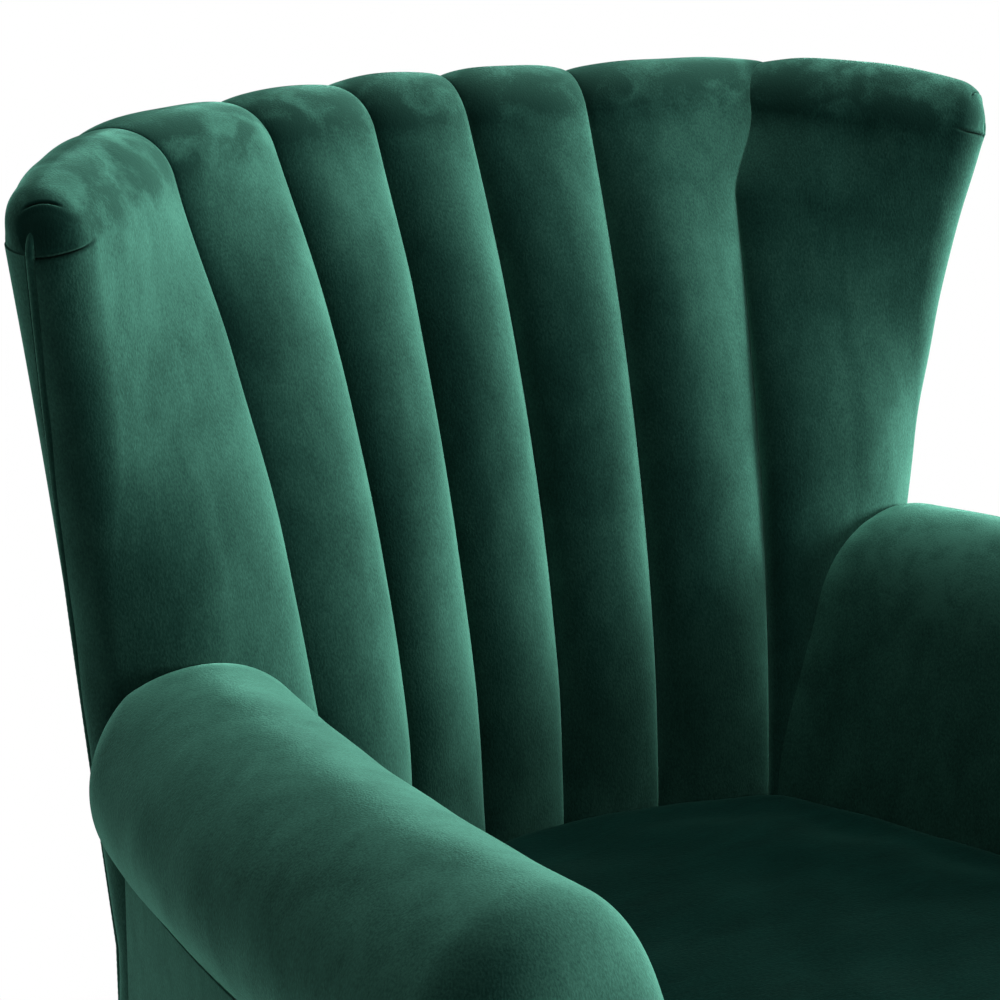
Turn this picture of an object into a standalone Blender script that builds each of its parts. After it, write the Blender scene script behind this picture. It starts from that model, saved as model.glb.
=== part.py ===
"""Wingback chair: fanned channel back, wings, rolled arms and a sprung seat on four turned legs.

Frame: X across, front towards -Y, Z up, floor at Z = 0, metres.
The back is laid out on four lines per side (centre seam, inner seam, outer seam, wing edge), each
given at the seat line, at mid height and at the shoulder.  Pads, panels, frame and arms all take
their shapes from those lines and from the arm axis, so a change to one of them moves its neighbours.
"""

import math

import bmesh
import bpy
import numpy as np

# Clearances
GAP = 0.0003
SNUG = 0.0010

# Heights
GLIDE_H = 0.0067
LEG_TOP = 0.1977
COVER_T = 0.0014
RAIL_Z = 0.200
RAIL_H = 0.090
SEAT_Z = 0.440
BACK_RISE = 0.460
PAD_FOOT = 0.400
SHOULDER_Z = 0.868
WING_TOP_Z = 0.849

# Back lines: plan position at the seat line, mid height and shoulder
CENTRE_SEAM = ((0.031, 0.184), (0.035, 0.217), (0.036, 0.279))
INNER_SEAM = ((0.097, 0.169), (0.103, 0.198), (0.117, 0.263))
OUTER_SEAM = ((0.166, 0.140), (0.187, 0.173), (0.206, 0.224))
WING_EDGE = ((0.300, 0.172), (0.319, 0.175), (0.354, 0.156))
LINE_H = (0.0, 0.4375, 0.875)

# Plan directions in which the seams dive into the padding, low down and over the top
CENTRE_DIVE = ((0.08, 1.0), (0.22, 1.0))
INNER_DIVE = ((0.22, 1.0), (0.31, 1.0))
OUTER_DIVE = ((0.45, 0.9), (0.80, 0.60))

# Padding
SEAM_DEPTH = 0.026
TOP_ROLL = 0.036
TOP_TURN = math.radians(175)
CHANNEL_CROWN = 0.018
CHANNEL_CROWN_TOP = 0.006
WING_CROWN = 0.032
WING_CROWN_TOP = 0.013
WING_SHOULDER = 0.36
WING_R = 0.026
WELT_R = 0.0025
GROOVE_LOW = math.radians(-26)
GROOVE_TOP = math.radians(0)
GROOVE_HALF = math.radians(7)
TIP_CLEAR = 0.0012
TIP_ROLL = 0.002

# Outside shell: plan position at the body's foot and at the top; its corners stand a little higher
PANEL_T = 0.006
SHELL_FOOT = 0.198
SHELL_TOP = 0.839
SHELL_RISE = 0.0125
SHELL_CENTRE = ((0.045, 0.256), (0.052, 0.360))
SHELL_INNER = ((0.130, 0.248), (0.142, 0.341))
SHELL_CORNER = ((0.262, 0.222), (0.267, 0.275))

# Arms
ARM_START = (0.2669, 0.1279)
ARM_SPLAY = 0.2774
ARM_BEND = 0.3388
ARM_Z = 0.549
ARM_R = 0.070
ARM_ROLL_DEG = (172, 148, 125, 108, 90, 72, 55, 36, 18, 0, -18, -36, -48, -58)
ARM_SWELL = 0.098
ARM_SWELL_Z = 0.445
ARM_FOOT = 0.3045
ARM_FRONT = -0.225
ARM_NOSE = 0.045
ARM_NOSE_DRAW = 0.62
ARM_TUCK = 0.012
ARM_REAR_DRAW = 0.06
ARM_LEG_DRAW = 0.20
SLOT_X = 0.0335
SLOT_TOP = 0.520
ARM_PANEL_X = 0.047
ARM_PANEL_T = 0.008
PANEL_STEP = 0.004
PANEL_LAP = 0.0028
FACING_T = 0.017

# Seat
CUSHION_FRONT = -0.335
CUSHION_FOOT = 0.3055
CUSHION_EDGE = 0.425
CUSHION_CROWN = 0.457
DECK_Z = 0.2945
DECK_T = 0.0095
DECK_SPREAD = 1.05
DECK_INSET = 0.018
BORDER_FRONT = -0.312
BORDER_DOME = 0.012
SPRING_R = 0.0018
SPRING_WAVE = 0.022
SPRING_X = (-0.120, 0.0, 0.120)

# Timber
RAIL_T = 0.024
POST_T = 0.028
POST_FOOT = (0.235, 0.196)
POST_TOP = (0.240, 0.250)
POST_TOP_Z = 0.800
ARM_BOARD_T = 0.024
ARM_BOARD_W = 0.060
ARM_POST_W = 0.040
ARM_REAR_POST_Y = 0.100
ARM_REAR_POST_X = (-0.016, 0.012)
FRAME_SET = 0.004
SIDE_RAIL_IN = 0.005
BLOCK_W = 0.060
BLOCK_TOP = 0.260
WING_BOARD_T = 0.012
BACK_RAILS = (
    ("top", 0.762, 0.798, 0.322),
    ("middle", 0.590, 0.640, 0.292),
    ("lower", 0.415, 0.465, 0.252),
)
STRAP_X = (-0.060, 0.060)
STRAP_W = 0.050
STRAP_T = 0.0015

# Legs
LEG_R_TOP = 0.0225
LEG_R_FOOT = 0.0125
LEG_MID = (0.0180, 0.090)
GLIDE_R = 0.0110
BOLT_R = 0.0040
BOLT_FOOT = 0.160
BOLT_TOP = 0.248
COVER_BORE = (0.190, 0.210)
FRONT_LEG = ((0.270, -0.210), (0.282, -0.238))
REAR_LEG = ((0.200, 0.151), (0.212, 0.214))

# Middle of the depth, so that the frame's origin is under the middle of the box
MID_Y = 0.01355


def material(name, colour, roughness, metallic=0.0):
    """One plain finish."""
    mat = bpy.data.materials.new(name)
    mat.use_nodes = True
    shader = mat.node_tree.nodes["Principled BSDF"]
    shader.inputs["Base Color"].default_value = (*colour, 1.0)
    shader.inputs["Roughness"].default_value = roughness
    shader.inputs["Metallic"].default_value = metallic
    mat.diffuse_color = (*colour, 1.0)
    return mat


def collection(name):
    """A collection linked to the scene."""
    col = bpy.data.collections.new(name)
    bpy.context.scene.collection.children.link(col)
    return col


def add_mesh(name, verts, faces, mat, col):
    """An object from points and faces, turned to face out, placed about the middle of the depth."""
    mesh = bpy.data.meshes.new(name)
    mesh.from_pydata([tuple(v) for v in np.asarray(verts, float)], [], [tuple(f) for f in faces])
    bm = bmesh.new()
    bm.from_mesh(mesh)
    bmesh.ops.remove_doubles(bm, verts=bm.verts, dist=0.00001)
    bmesh.ops.recalc_face_normals(bm, faces=bm.faces)
    bm.to_mesh(mesh)
    bm.free()
    obj = bpy.data.objects.new(name, mesh)
    obj.location = (0.0, -MID_Y, 0.0)
    if mat is not None:
        mesh.materials.append(mat)
    col.objects.link(obj)
    return obj


def thick(name, outer, inner, mat, col, rows=1, fit=None):
    """A solid between two point grids of one shape, with rows of points between them at the ends.

    The first row of every layer can be fitted to a neighbour.
    """
    outer = np.asarray(outer, float)
    inner = np.asarray(inner, float)
    m, n = outer.shape[:2]
    layers = [outer + (inner - outer) * k / rows for k in range(rows + 1)]
    if fit is not None:
        layers = [np.concatenate([fit(g[0])[None], g[1:]]) for g in layers]
    verts = np.concatenate([g.reshape(-1, 3) for g in layers])

    def at(k, i, j):
        return k * m * n + i * n + j

    faces = []
    for k in (0, rows):
        for i in range(m - 1):
            for j in range(n - 1):
                faces.append((at(k, i, j), at(k, i, j + 1), at(k, i + 1, j + 1), at(k, i + 1, j)))
    for k in range(rows):
        for j in range(n - 1):
            for i in (0, m - 1):
                faces.append((at(k, i, j), at(k, i, j + 1), at(k + 1, i, j + 1), at(k + 1, i, j)))
        for i in range(m - 1):
            for j in (0, n - 1):
                faces.append((at(k, i, j), at(k, i + 1, j), at(k + 1, i + 1, j), at(k + 1, i, j)))
    used = sorted({v for f in faces for v in f})
    place = {v: q for q, v in enumerate(used)}
    return add_mesh(name, verts[used], [[place[v] for v in f] for f in faces], mat, col)


def rings(name, loops, mat, col, foot=None, top=None):
    """A solid of closed loops stacked one on the next; each end is a point or a flat face."""
    loops = [np.asarray(q, float) for q in loops]
    n = len(loops[0])
    verts = list(np.concatenate(loops))
    faces = []
    for k in range(len(loops) - 1):
        for j in range(n):
            a, b = k * n + j, k * n + (j + 1) % n
            faces.append((a, b, b + n, a + n))
    for end, point in ((0, foot), (len(loops) - 1, top)):
        ring = [end * n + j for j in range(n)]
        if point is None:
            faces.append(ring)
        else:
            verts.append(np.asarray(point, float))
            faces += [(ring[j], ring[(j + 1) % n], len(verts) - 1) for j in range(n)]
    return add_mesh(name, np.array(verts), faces, mat, col)


def ease_edges(obj, width=0.002):
    """A small chamfer on a timber's edges."""
    mod = obj.modifiers.new("eased", "BEVEL")
    mod.width = width
    mod.segments = 1
    mod.limit_method = "ANGLE"
    return obj


def mirror_x(points):
    """The same points on the other side."""
    return np.asarray(points, float) * np.array([-1.0, 1.0, 1.0])


def unit(v):
    """Vectors scaled to length one."""
    v = np.asarray(v, float)
    return v / np.linalg.norm(v, axis=-1, keepdims=True)


def smooth(t):
    """Eases from 0 to 1."""
    t = np.clip(t, 0.0, 1.0)
    return t * t * (3 - 2 * t)


def plan(line, z):
    """Plan position of a back line at a height: a parabola through its three stations."""
    h = np.clip((np.asarray(z, float) - SEAT_Z) / BACK_RISE, 0.0, 1.2)
    fit = [np.polyfit(LINE_H, [p[k] for p in line], 2) for k in (0, 1)]
    return np.stack([np.polyval(f, h) for f in fit], axis=-1)


def line_points(line, z):
    """Points of a back line at heights."""
    return np.concatenate([plan(line, z), np.asarray(z, float)[..., None]], axis=-1)


def line_frame(line, dive, roll_z, roll_r, fronts, turns):
    """Stations of a back line up the front and over the top: points and outward normals.

    The front stations are fractions of the height from the pad's foot to where the top roll starts;
    the turn stations are angles about the roll.
    """
    z = PAD_FOOT + fronts * (roll_z - PAD_FOOT)
    front = line_points(line, z)
    up = unit(line_points(line, z + 0.002) - line_points(line, z - 0.002))
    mix = smooth((z - SEAT_Z) / (roll_z - SEAT_Z))[:, None]
    if dive is None:
        chord = plan(WING_EDGE, z) - plan(OUTER_SEAM, z)
        back = np.stack([-chord[:, 1], chord[:, 0]], axis=-1)
    else:
        back = np.array(dive[0]) * (1 - mix) + np.array(dive[1]) * mix
    back = np.concatenate([back, np.zeros((len(z), 1))], axis=-1)
    back = unit(back - np.sum(back * up, axis=-1, keepdims=True) * up)
    s, c = np.sin(turns)[:, None], np.cos(turns)[:, None]
    over = front[-1] + roll_r * (s * up[-1] + (1 - c) * back[-1])
    return np.concatenate([front, over]), np.concatenate([-back, s * up[-1] - c * back[-1]])


FRONTS = np.linspace(0.0, 1.0, 11)
TURNS = np.linspace(0.0, TOP_TURN, 8)[1:]


def back_lines(fronts=FRONTS, turns=TURNS):
    """The four lines of the right half, as (points, normals)."""
    return (
        line_frame(CENTRE_SEAM, CENTRE_DIVE, SHOULDER_Z, TOP_ROLL, fronts, turns),
        line_frame(INNER_SEAM, INNER_DIVE, SHOULDER_Z, TOP_ROLL, fronts, turns),
        line_frame(OUTER_SEAM, OUTER_DIVE, SHOULDER_Z, TOP_ROLL, fronts, turns),
        line_frame(WING_EDGE, None, WING_TOP_Z, TIP_ROLL, fronts, turns),
    )


def crown_along(fronts, count_turn, low, full, top):
    """Height of a crown along the stations: tucked at the foot, full, then flatter over the top."""
    s = np.asarray(fronts, float)
    front = low + (full - low) * smooth(s / 0.35)
    front = front + (top - front) * smooth((s - 0.72) / 0.28)
    return np.concatenate([front, np.full(count_turn, top)])


def channel(name, left, right, mat, col):
    """One back channel between two seams: a crowned front that drops steeply into both seams."""
    p = 0.5 - 0.5 * np.cos(np.linspace(0.0, math.pi, 8))
    full = (1 - np.abs(2 * p - 1) ** 2.4) ** 0.6
    crown = crown_along(FRONTS, len(TURNS), 0.0, CHANNEL_CROWN, CHANNEL_CROWN_TOP)
    (pl, nl), (pr, nr) = left, right
    across = unit(pr - pl)
    pl, pr = pl + across * GAP / 2, pr - across * GAP / 2
    mix = p[None, :, None]
    base = pl[:, None] * (1 - mix) + pr[:, None] * mix
    normal = unit(nl[:, None] * (1 - mix) + nr[:, None] * mix)
    outer = base + normal * (crown[:, None] * full[None, :])[..., None]
    inner = (pl - nl * SEAM_DEPTH)[:, None] * (1 - mix) + (pr - nr * SEAM_DEPTH)[:, None] * mix
    return thick(name, outer, inner, mat, col)


def wing_section(lines, fronts, ends, columns, arc):
    """Wing front from the outer seam to the edge's round, with the skeleton it is padded on.

    Each row lies between the seam and the wing edge; the crown rises steeply out of the seam, runs
    flat to the edge and rounds it until the end angle of that row.
    """
    (ps, ns), (pe, ne) = lines
    rows = len(ps)
    span = np.linalg.norm(pe - ps, axis=-1)
    across = (pe - ps) / span[:, None]
    low = crown_along(fronts, rows - len(fronts), 0.6 * WING_CROWN, WING_CROWN, WING_CROWN_TOP)
    q = np.linspace(0.0, 1.0, columns) ** 1.4
    flat = q[None, :] * (span - WING_R)[:, None]
    share = flat / span[:, None]
    rise = (1 - (1 - np.clip(share / WING_SHOULDER, 0, 1)) ** 2.4) ** 0.55
    late = smooth((share - WING_SHOULDER) / (1 - WING_R / span[:, None] - WING_SHOULDER))
    lift = low[:, None] * rise * (1 - late) + WING_R * late
    turn = np.radians(90) + (np.asarray(ends) - np.radians(90))[:, None] * np.linspace(0, 1, arc)[None, 1:]
    along = np.concatenate([flat, (span - WING_R)[:, None] + WING_R * np.cos(turn)], axis=1)
    lift = np.concatenate([lift, WING_R * np.sin(turn)], axis=1)
    mix = np.clip(2.5 * along / span[:, None], 0, 1)[..., None]
    normal = unit(ns[:, None] * (1 - mix) + ne[:, None] * mix)
    outer = ps[:, None] + across[:, None] * along[..., None] + normal * lift[..., None]
    hook = (span - WING_R)[:, None] + 0.45 * WING_R * np.cos(np.asarray(ends))[:, None]
    hook_lift = 0.45 * WING_R * np.sin(np.asarray(ends))
    last = ps + across * hook + ne * hook_lift[:, None]
    first = ps - ns * SEAM_DEPTH
    t = (along / along[:, -1:])[..., None]
    return outer, first[:, None] * (1 - t) + last[:, None] * t


def groove_turn(share):
    """Angle of the welt's groove round the wing edge at a share of the pad's height."""
    return GROOVE_LOW + (GROOVE_TOP - GROOVE_LOW) * np.clip(share, 0.0, 1.0)


def wing_pad(name, lines, mat, col, flip):
    """Wing pad: rounds the wing edge as far as the welt's groove, and the tip over the top."""
    ends = groove_turn(np.concatenate([FRONTS, np.ones(len(TURNS))])) + GROOVE_HALF
    (ps, ns), edge = lines
    ps = ps + unit(edge[0] - ps) * GAP / 2
    outer, inner = wing_section(((ps, ns), edge), FRONTS, ends, 9, 5)
    if flip:
        outer, inner = mirror_x(outer), mirror_x(inner)
    return thick(name, outer, inner, mat, col)


def wing_front_y(x, z):
    """Depth of the wing's front at points of the right half, where the arm ends against it."""
    fronts = np.linspace(0.0, 0.9, 40)
    seam = line_frame(OUTER_SEAM, OUTER_DIVE, SHOULDER_Z, TOP_ROLL, fronts, TURNS[:0])
    edge = line_frame(WING_EDGE, None, WING_TOP_Z, TIP_ROLL, fronts, TURNS[:0])
    outer = wing_section((seam, edge), fronts, np.zeros(len(fronts)), 24, 2)[0][:, :24]
    x, z = np.asarray(x, float), np.asarray(z, float)
    out = np.empty(x.shape)
    for i in np.ndindex(x.shape):
        xs = [np.interp(z[i], outer[:, k, 2], outer[:, k, 0]) for k in range(outer.shape[1])]
        ys = [np.interp(z[i], outer[:, k, 2], outer[:, k, 1]) for k in range(outer.shape[1])]
        out[i] = np.interp(x[i], xs, ys)
    return out


def shell_line(line, z):
    """A line of the outside shell at heights, straight from the body's foot to its top."""
    t = ((np.asarray(z, float) - SHELL_FOOT) / (SHELL_TOP - SHELL_FOOT))[..., None]
    return np.array(line[0]) * (1 - t) + np.array(line[1]) * t


def shell_top(x):
    """Height of the outside shell's top edge: level across the middle, then rising to the corners."""
    inner, corner = SHELL_INNER[1][0], SHELL_CORNER[1][0]
    return SHELL_TOP + SHELL_RISE * np.clip((np.abs(x) - inner) / (corner - inner), 0.0, 1.0)


def edge_frame(z):
    """Middle of the wing edge's round at one height of the edge, and its two directions."""
    share = np.array([(z - PAD_FOOT) / (WING_TOP_Z - PAD_FOOT)])
    edge, front = (q[0] for q in line_frame(WING_EDGE, None, WING_TOP_Z, TIP_ROLL, share, TURNS[:0]))
    seam = line_points(OUTER_SEAM, PAD_FOOT + share * (SHOULDER_Z - PAD_FOOT))[0]
    across = unit(edge - seam)
    return edge - across * WING_R, across, front


def edge_arc(z, angles, radius):
    """Points round the wing's front edge at one height of the edge, square to it like the pad."""
    centre, across, front = edge_frame(z)
    return centre + radius * (np.cos(angles)[:, None] * across + np.sin(angles)[:, None] * front)


def outside_back(mat, col):
    """Outside back: one curved board from corner to corner."""
    outer, inner = [], []
    for share in np.linspace(-1.0, 1.0, 13):
        z = SHELL_FOOT + np.linspace(0.0, 1.0, 8) * (shell_top(share * SHELL_CORNER[1][0]) - SHELL_FOOT)
        keys = np.stack([shell_line(q, z) for q in (SHELL_CENTRE, SHELL_INNER, SHELL_CORNER)])
        fits = [np.polyfit(keys[:, k, 0], keys[:, k, 1], 2) for k in range(len(z))]
        x = share * (keys[2, :, 0] - GAP)
        y = np.array([np.polyval(f, abs(w)) for f, w in zip(fits, x)])
        slope = np.array([np.polyval(np.polyder(f), abs(w)) for f, w in zip(fits, x)]) * np.sign(x)
        lean = unit(np.stack([slope, -np.ones(len(z))], axis=-1)) * PANEL_T
        outer.append(np.stack([x, y, z], axis=-1))
        inner.append(np.stack([x + lean[:, 0], y + lean[:, 1], z], axis=-1))
    return thick("outside_back_panel", outer, inner, mat, col)


def outside_wing(name, mat, col, flip):
    """Outside wing panel: flat from the back's corner, then round the wing edge to the groove.

    The flat part leaves the round on its tangent, or just short of the groove where that comes later.
    """
    part = np.linspace(0.0, 1.0, 4)[:-1, None]
    outer, inner = [], []
    for s in np.linspace(0.0, 1.0, 12):
        height = SHELL_FOOT + s * (WING_TOP_Z - TIP_CLEAR - SHELL_FOOT)
        last = groove_turn((height - PAD_FOOT) / (WING_TOP_Z - PAD_FOOT)) - GROOVE_HALF
        z = SHELL_FOOT + s * (shell_top(SHELL_CORNER[1][0]) - SHELL_FOOT)
        corner = np.array([*shell_line(SHELL_CORNER, z), z])
        centre, across, front = edge_frame(height)
        reach = np.array([(corner - centre) @ across, (corner - centre) @ front])
        tangent = math.atan2(reach[1], reach[0]) + math.acos(WING_R / math.hypot(*reach))
        angles = np.linspace(min(tangent, last - 2 * GROOVE_HALF), last, 6)
        arc = edge_arc(height, angles, WING_R)
        tuck = edge_arc(height, angles, WING_R - PANEL_T)
        run = unit((arc[0] - corner) * np.array([1.0, 1.0, 0.0]))
        corner = corner + run * GAP
        start = corner + (run + np.array([run[1], -run[0], 0.0])) * PANEL_T
        outer.append(np.concatenate([corner * (1 - part) + arc[0] * part, arc]))
        inner.append(np.concatenate([start * (1 - part) + tuck[0] * part, tuck]))
    outer, inner = np.array(outer), np.array(inner)
    outer[0, :, 2] = inner[0, :, 2] = SHELL_FOOT
    if flip:
        outer, inner = mirror_x(outer), mirror_x(inner)
    return thick(name, outer, inner, mat, col)


def tube(name, path, radius, sides, mat, col):
    """A round cord along a path, cut square at both ends."""
    path = np.asarray(path, float)
    along = unit(np.gradient(path, axis=0))
    side = unit(np.cross(along, np.array([0.31, 0.17, 0.93])))
    lift = np.cross(side, along)
    loops = []
    for k in range(len(path)):
        a = np.linspace(0.0, 2 * math.pi, sides, endpoint=False)[:, None]
        loops.append(path[k] + radius * (np.cos(a) * side[k] + np.sin(a) * lift[k]))
    return rings(name, loops, mat, col)


def welt(name, mat, col, flip):
    """Welt cord in the groove between the wing pad and the outside wing panel."""
    share = np.linspace(0.0, 1.0, 16)
    z = PAD_FOOT + share * (WING_TOP_Z - TIP_CLEAR - PAD_FOOT)
    turn = groove_turn(share)
    path = np.array([edge_arc(h, turn[k:k + 1], WING_R - WELT_R / 2)[0] for k, h in enumerate(z)])
    return tube(name, mirror_x(path) if flip else path, WELT_R, 6, mat, col)


def arm_x(y):
    """Middle of the right arm at a depth: it leaves the wing outward and straightens."""
    run = ARM_START[1] - np.asarray(y, float)
    return ARM_START[0] + ARM_SPLAY * run - ARM_BEND * run * run


def arm_contour():
    """Arm section about its middle: the padded outline and the slot over the arm frame beneath it."""
    swell = np.array([ARM_FOOT, (ARM_FOOT + ARM_SWELL_Z) / 2, ARM_SWELL_Z])
    ease = np.array([0.33, 0.66])
    deg = np.array(ARM_ROLL_DEG)
    turn = np.radians(deg)
    roll = np.stack([ARM_R * np.cos(turn), ARM_Z + ARM_R * np.sin(turn)], axis=-1)
    low = np.stack([np.full(3, -ARM_SWELL), swell], axis=-1)
    mid = np.array([-ARM_SWELL, ARM_SWELL_Z]) * (1 - ease[:, None]) + roll[0] * ease[:, None]
    mid[:, 0] -= 0.003
    outer = np.concatenate([low, mid, roll])
    slot_z = np.concatenate([swell, ARM_SWELL_Z + (SLOT_TOP - 0.02 - ARM_SWELL_Z) * ease])
    keys = (deg[-1], 55, 125, deg[0])
    slot = np.stack([
        np.interp(deg, keys, (SLOT_X, SLOT_X, -SLOT_X, -SLOT_X)),
        np.interp(deg, keys, (roll[-1, 1], SLOT_TOP, SLOT_TOP, SLOT_TOP - 0.02)),
    ], axis=-1)
    legs = np.stack([np.full(5, -SLOT_X), slot_z], axis=-1)
    return outer, np.concatenate([legs, slot])


def arm_pad(name, mat, col, flip):
    """Arm pad: a roll with a swelled inner face, fitted to the wing behind and rounded at the nose."""
    outer, slot = arm_contour()
    runs = [(ARM_START[1], ARM_REAR_DRAW)]
    runs += [(y, 0.0) for y in np.linspace(ARM_START[1] - ARM_TUCK, ARM_FRONT, 9)]
    runs += [(ARM_FRONT - ARM_NOSE * math.sin(a), 1 - math.cos(a)) for a in np.radians([28, 52, 72, 88])]
    out_grid, in_grid = [], []
    firm = np.where(outer[:, 1] < ARM_Z - 0.3 * ARM_R, ARM_LEG_DRAW, ARM_NOSE_DRAW)
    firm = np.where(outer[:, 0] > 0, ARM_NOSE_DRAW, firm)[:, None]
    for y, draw in runs:
        skin = slot + (outer - slot) * (1 - firm * draw)
        for grid, pts in ((out_grid, skin), (in_grid, slot)):
            x = pts[:, 0] + arm_x(y)
            grid.append(np.stack([x, np.full(len(pts), y), pts[:, 1]], axis=-1))

    def against_wing(row):
        off = row[:, 0] - arm_x(row[:, 1])
        for _ in range(4):
            row = row.copy()
            row[:, 1] = wing_front_y(row[:, 0], row[:, 2]) - 2 * SNUG
            row[:, 0] = off + arm_x(row[:, 1])
        return row

    obj = thick(name, np.array(out_grid), np.array(in_grid), mat, col, rows=4, fit=against_wing)
    if flip:
        flip_mesh(obj)
    return obj


def flip_mesh(obj):
    """Mirrors a mesh to the other side and keeps its faces outward."""
    for v in obj.data.vertices:
        v.co.x = -v.co.x
    obj.data.flip_normals()


def arm_panel(name, mat, col, flip):
    """Outside arm panel, tucked under the roll and run back below the wing pad.

    Its rear end is thinned and laps over the end of the wing panel, so that no slit is left there.
    """
    roll = ARM_Z - math.sqrt(ARM_R ** 2 - (ARM_PANEL_X - ARM_PANEL_T) ** 2) - SNUG
    under_pad = PAD_FOOT - SNUG
    step = plan(WING_EDGE, SEAT_Z)[1] - WING_R + PANEL_STEP
    front = ARM_FRONT - ARM_NOSE + SNUG
    z = np.linspace(SHELL_FOOT, under_pad, 5)
    end = edge_arc(PAD_FOOT, np.array([GROOVE_LOW - GROOVE_HALF]), WING_R)[0]
    lap = end[1] + PANEL_LAP
    thin = arm_x(lap) + ARM_PANEL_X - end[0] - 3 * GAP
    runs = [(lap, z, thin), (lap - 4 * PANEL_LAP, z, ARM_PANEL_T), (step + 2 * SNUG, z, ARM_PANEL_T)]
    runs += [(y, np.linspace(SHELL_FOOT, roll, 5), ARM_PANEL_T) for y in np.linspace(step, front, 8)]
    outer, inner = [], []
    for y, z, depth in runs:
        for grid, x in ((outer, ARM_PANEL_X), (inner, ARM_PANEL_X - depth)):
            grid.append(np.stack([np.full(5, arm_x(y) + x), np.full(5, y), z], axis=-1))
    obj = thick(name, outer, inner, mat, col)
    if flip:
        flip_mesh(obj)
    return obj


def arm_facing(name, mat, col, flip):
    """Arm front panel: a padded plate with a round head that closes the roll's nose."""
    back = ARM_FRONT - ARM_NOSE * math.sin(math.radians(88)) - GAP
    half = SLOT_X + (ARM_R - SLOT_X) * (1 - ARM_NOSE_DRAW)
    head = SLOT_TOP + (ARM_Z + ARM_R - SLOT_TOP) * (1 - ARM_NOSE_DRAW) - half
    a = np.linspace(0.0, math.pi, 11)
    top = np.stack([half * np.cos(a), head + half * np.sin(a)], axis=-1)
    outline = np.concatenate([[(half, SHELL_FOOT)], top, [(-half, SHELL_FOOT)]])
    heart = np.array([0.0, (SHELL_FOOT + head) / 2])
    loops = []
    for y, inset in ((0.0, 0.0), (0.55, 0.0), (0.85, 0.003), (1.0, 0.009)):
        pull = np.sign(outline - heart) * np.minimum(np.abs(outline - heart), inset)
        pts = outline - pull
        depth = np.full(len(pts), back - y * FACING_T)
        loops.append(np.stack([pts[:, 0] + arm_x(back), depth, pts[:, 1]], axis=-1))
    obj = rings(name, loops, mat, col)
    if flip:
        flip_mesh(obj)
    return obj


def seat_outline(front):
    """Right half of the seat's outline from the middle of the rear edge round to the front."""
    c, i, o = (plan(q, SEAT_Z) for q in (CENTRE_SEAM, INNER_SEAM, OUTER_SEAM))
    rear = [(0.0, c[1] - 0.0055), c - (0.0, 0.006), (c + i) / 2 - (0.0, 0.0065), i - (0.0, 0.0065)]
    rear += [(i + o) / 2 - (0.0, 0.0065), o - (0.008, 0.0045), o - (-0.004, 0.018)]
    nose = ARM_FRONT - ARM_NOSE
    side_y = np.linspace(o[1] - 0.040, nose, 8)
    side = [(arm_x(y) - ARM_SWELL - SNUG, y) for y in side_y]
    x = side[-1][0]
    turn = [(x, front + 0.035), (x - 0.008, front + 0.012), (x - 0.030, front + 0.002)]
    return np.array(rear + side + turn + [(x * 0.5, front), (0.0, front)])


def full_loop(half):
    """Closes a right half outline with its mirror."""
    return np.concatenate([half, half[-2:0:-1] * np.array([-1.0, 1.0])])


def seat_cushion(mat, col):
    """Seat cushion: drawn in at the foot, full at the border, crowned to the middle."""
    loop = full_loop(seat_outline(CUSHION_FRONT))
    heart = np.array([0.0, (plan(CENTRE_SEAM, SEAT_Z)[1] + CUSHION_FRONT) / 2])
    steps = (
        (CUSHION_FOOT, 0.955),
        (CUSHION_FOOT + 0.010, 0.990),
        (CUSHION_FOOT + 0.055, 1.0),
        (CUSHION_EDGE, 1.0),
        (CUSHION_EDGE + 0.013, 0.985),
        (CUSHION_EDGE + 0.022, 0.94),
        (CUSHION_CROWN - 0.0045, 0.80),
        (CUSHION_CROWN - 0.001, 0.50),
    )
    loops = []
    for z, scale in steps:
        pts = heart + (loop - heart) * scale
        loops.append(np.concatenate([pts, np.full((len(pts), 1), z)], axis=1))
    return rings("seat_cushion", loops, mat, col, top=(*heart, CUSHION_CROWN))


def seat_deck(mat, col):
    """Insulator pad between the springs and the cushion."""
    loop = full_loop(seat_outline(ARM_FRONT - ARM_NOSE + DECK_INSET)) * DECK_SPREAD
    loops = [np.concatenate([loop, np.full((len(loop), 1), z)], axis=1) for z in (DECK_Z, DECK_Z + DECK_T)]
    return rings("seat_deck_pad", loops, mat, col)


def front_border(mat, col):
    """Padded front border between the arm fronts, under the cushion's nose."""
    half = float(arm_x(ARM_FRONT - ARM_NOSE)) - SLOT_X - (ARM_R - SLOT_X) * (1 - ARM_NOSE_DRAW) - SNUG
    back = ARM_FRONT - ARM_NOSE + 0.0035
    outer, inner = [], []
    z = np.linspace(SHELL_FOOT, ARM_FOOT - GAP, 5)
    for x in np.linspace(-half, half, 9):
        edge = 1 - (abs(x) / half) ** 6
        swell = np.sin(np.linspace(0.12, 0.88, 5) * math.pi) ** 0.7
        dome = BORDER_FRONT + BORDER_DOME * (1 - edge * swell)
        outer.append(np.stack([np.full(5, x), dome, z], axis=-1))
        inner.append(np.stack([np.full(5, x), np.full(5, back), z], axis=-1))
    return thick("seat_front_border", outer, inner, mat, col)


def spring(name, x, mat, col):
    """One sinuous seat spring, laid over the front and rear rails."""
    t = np.linspace(0.0, 1.0, 46)
    y = POST_FOOT[1] + (ARM_FRONT - ARM_NOSE + 0.010 - POST_FOOT[1]) * t
    wave = SPRING_WAVE * np.sin(t * 13 * math.pi)
    z = np.full(46, RAIL_Z + RAIL_H + GAP + SPRING_R)
    return tube(name, np.stack([x + wave, y, z], axis=-1), SPRING_R, 5, mat, col)


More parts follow.
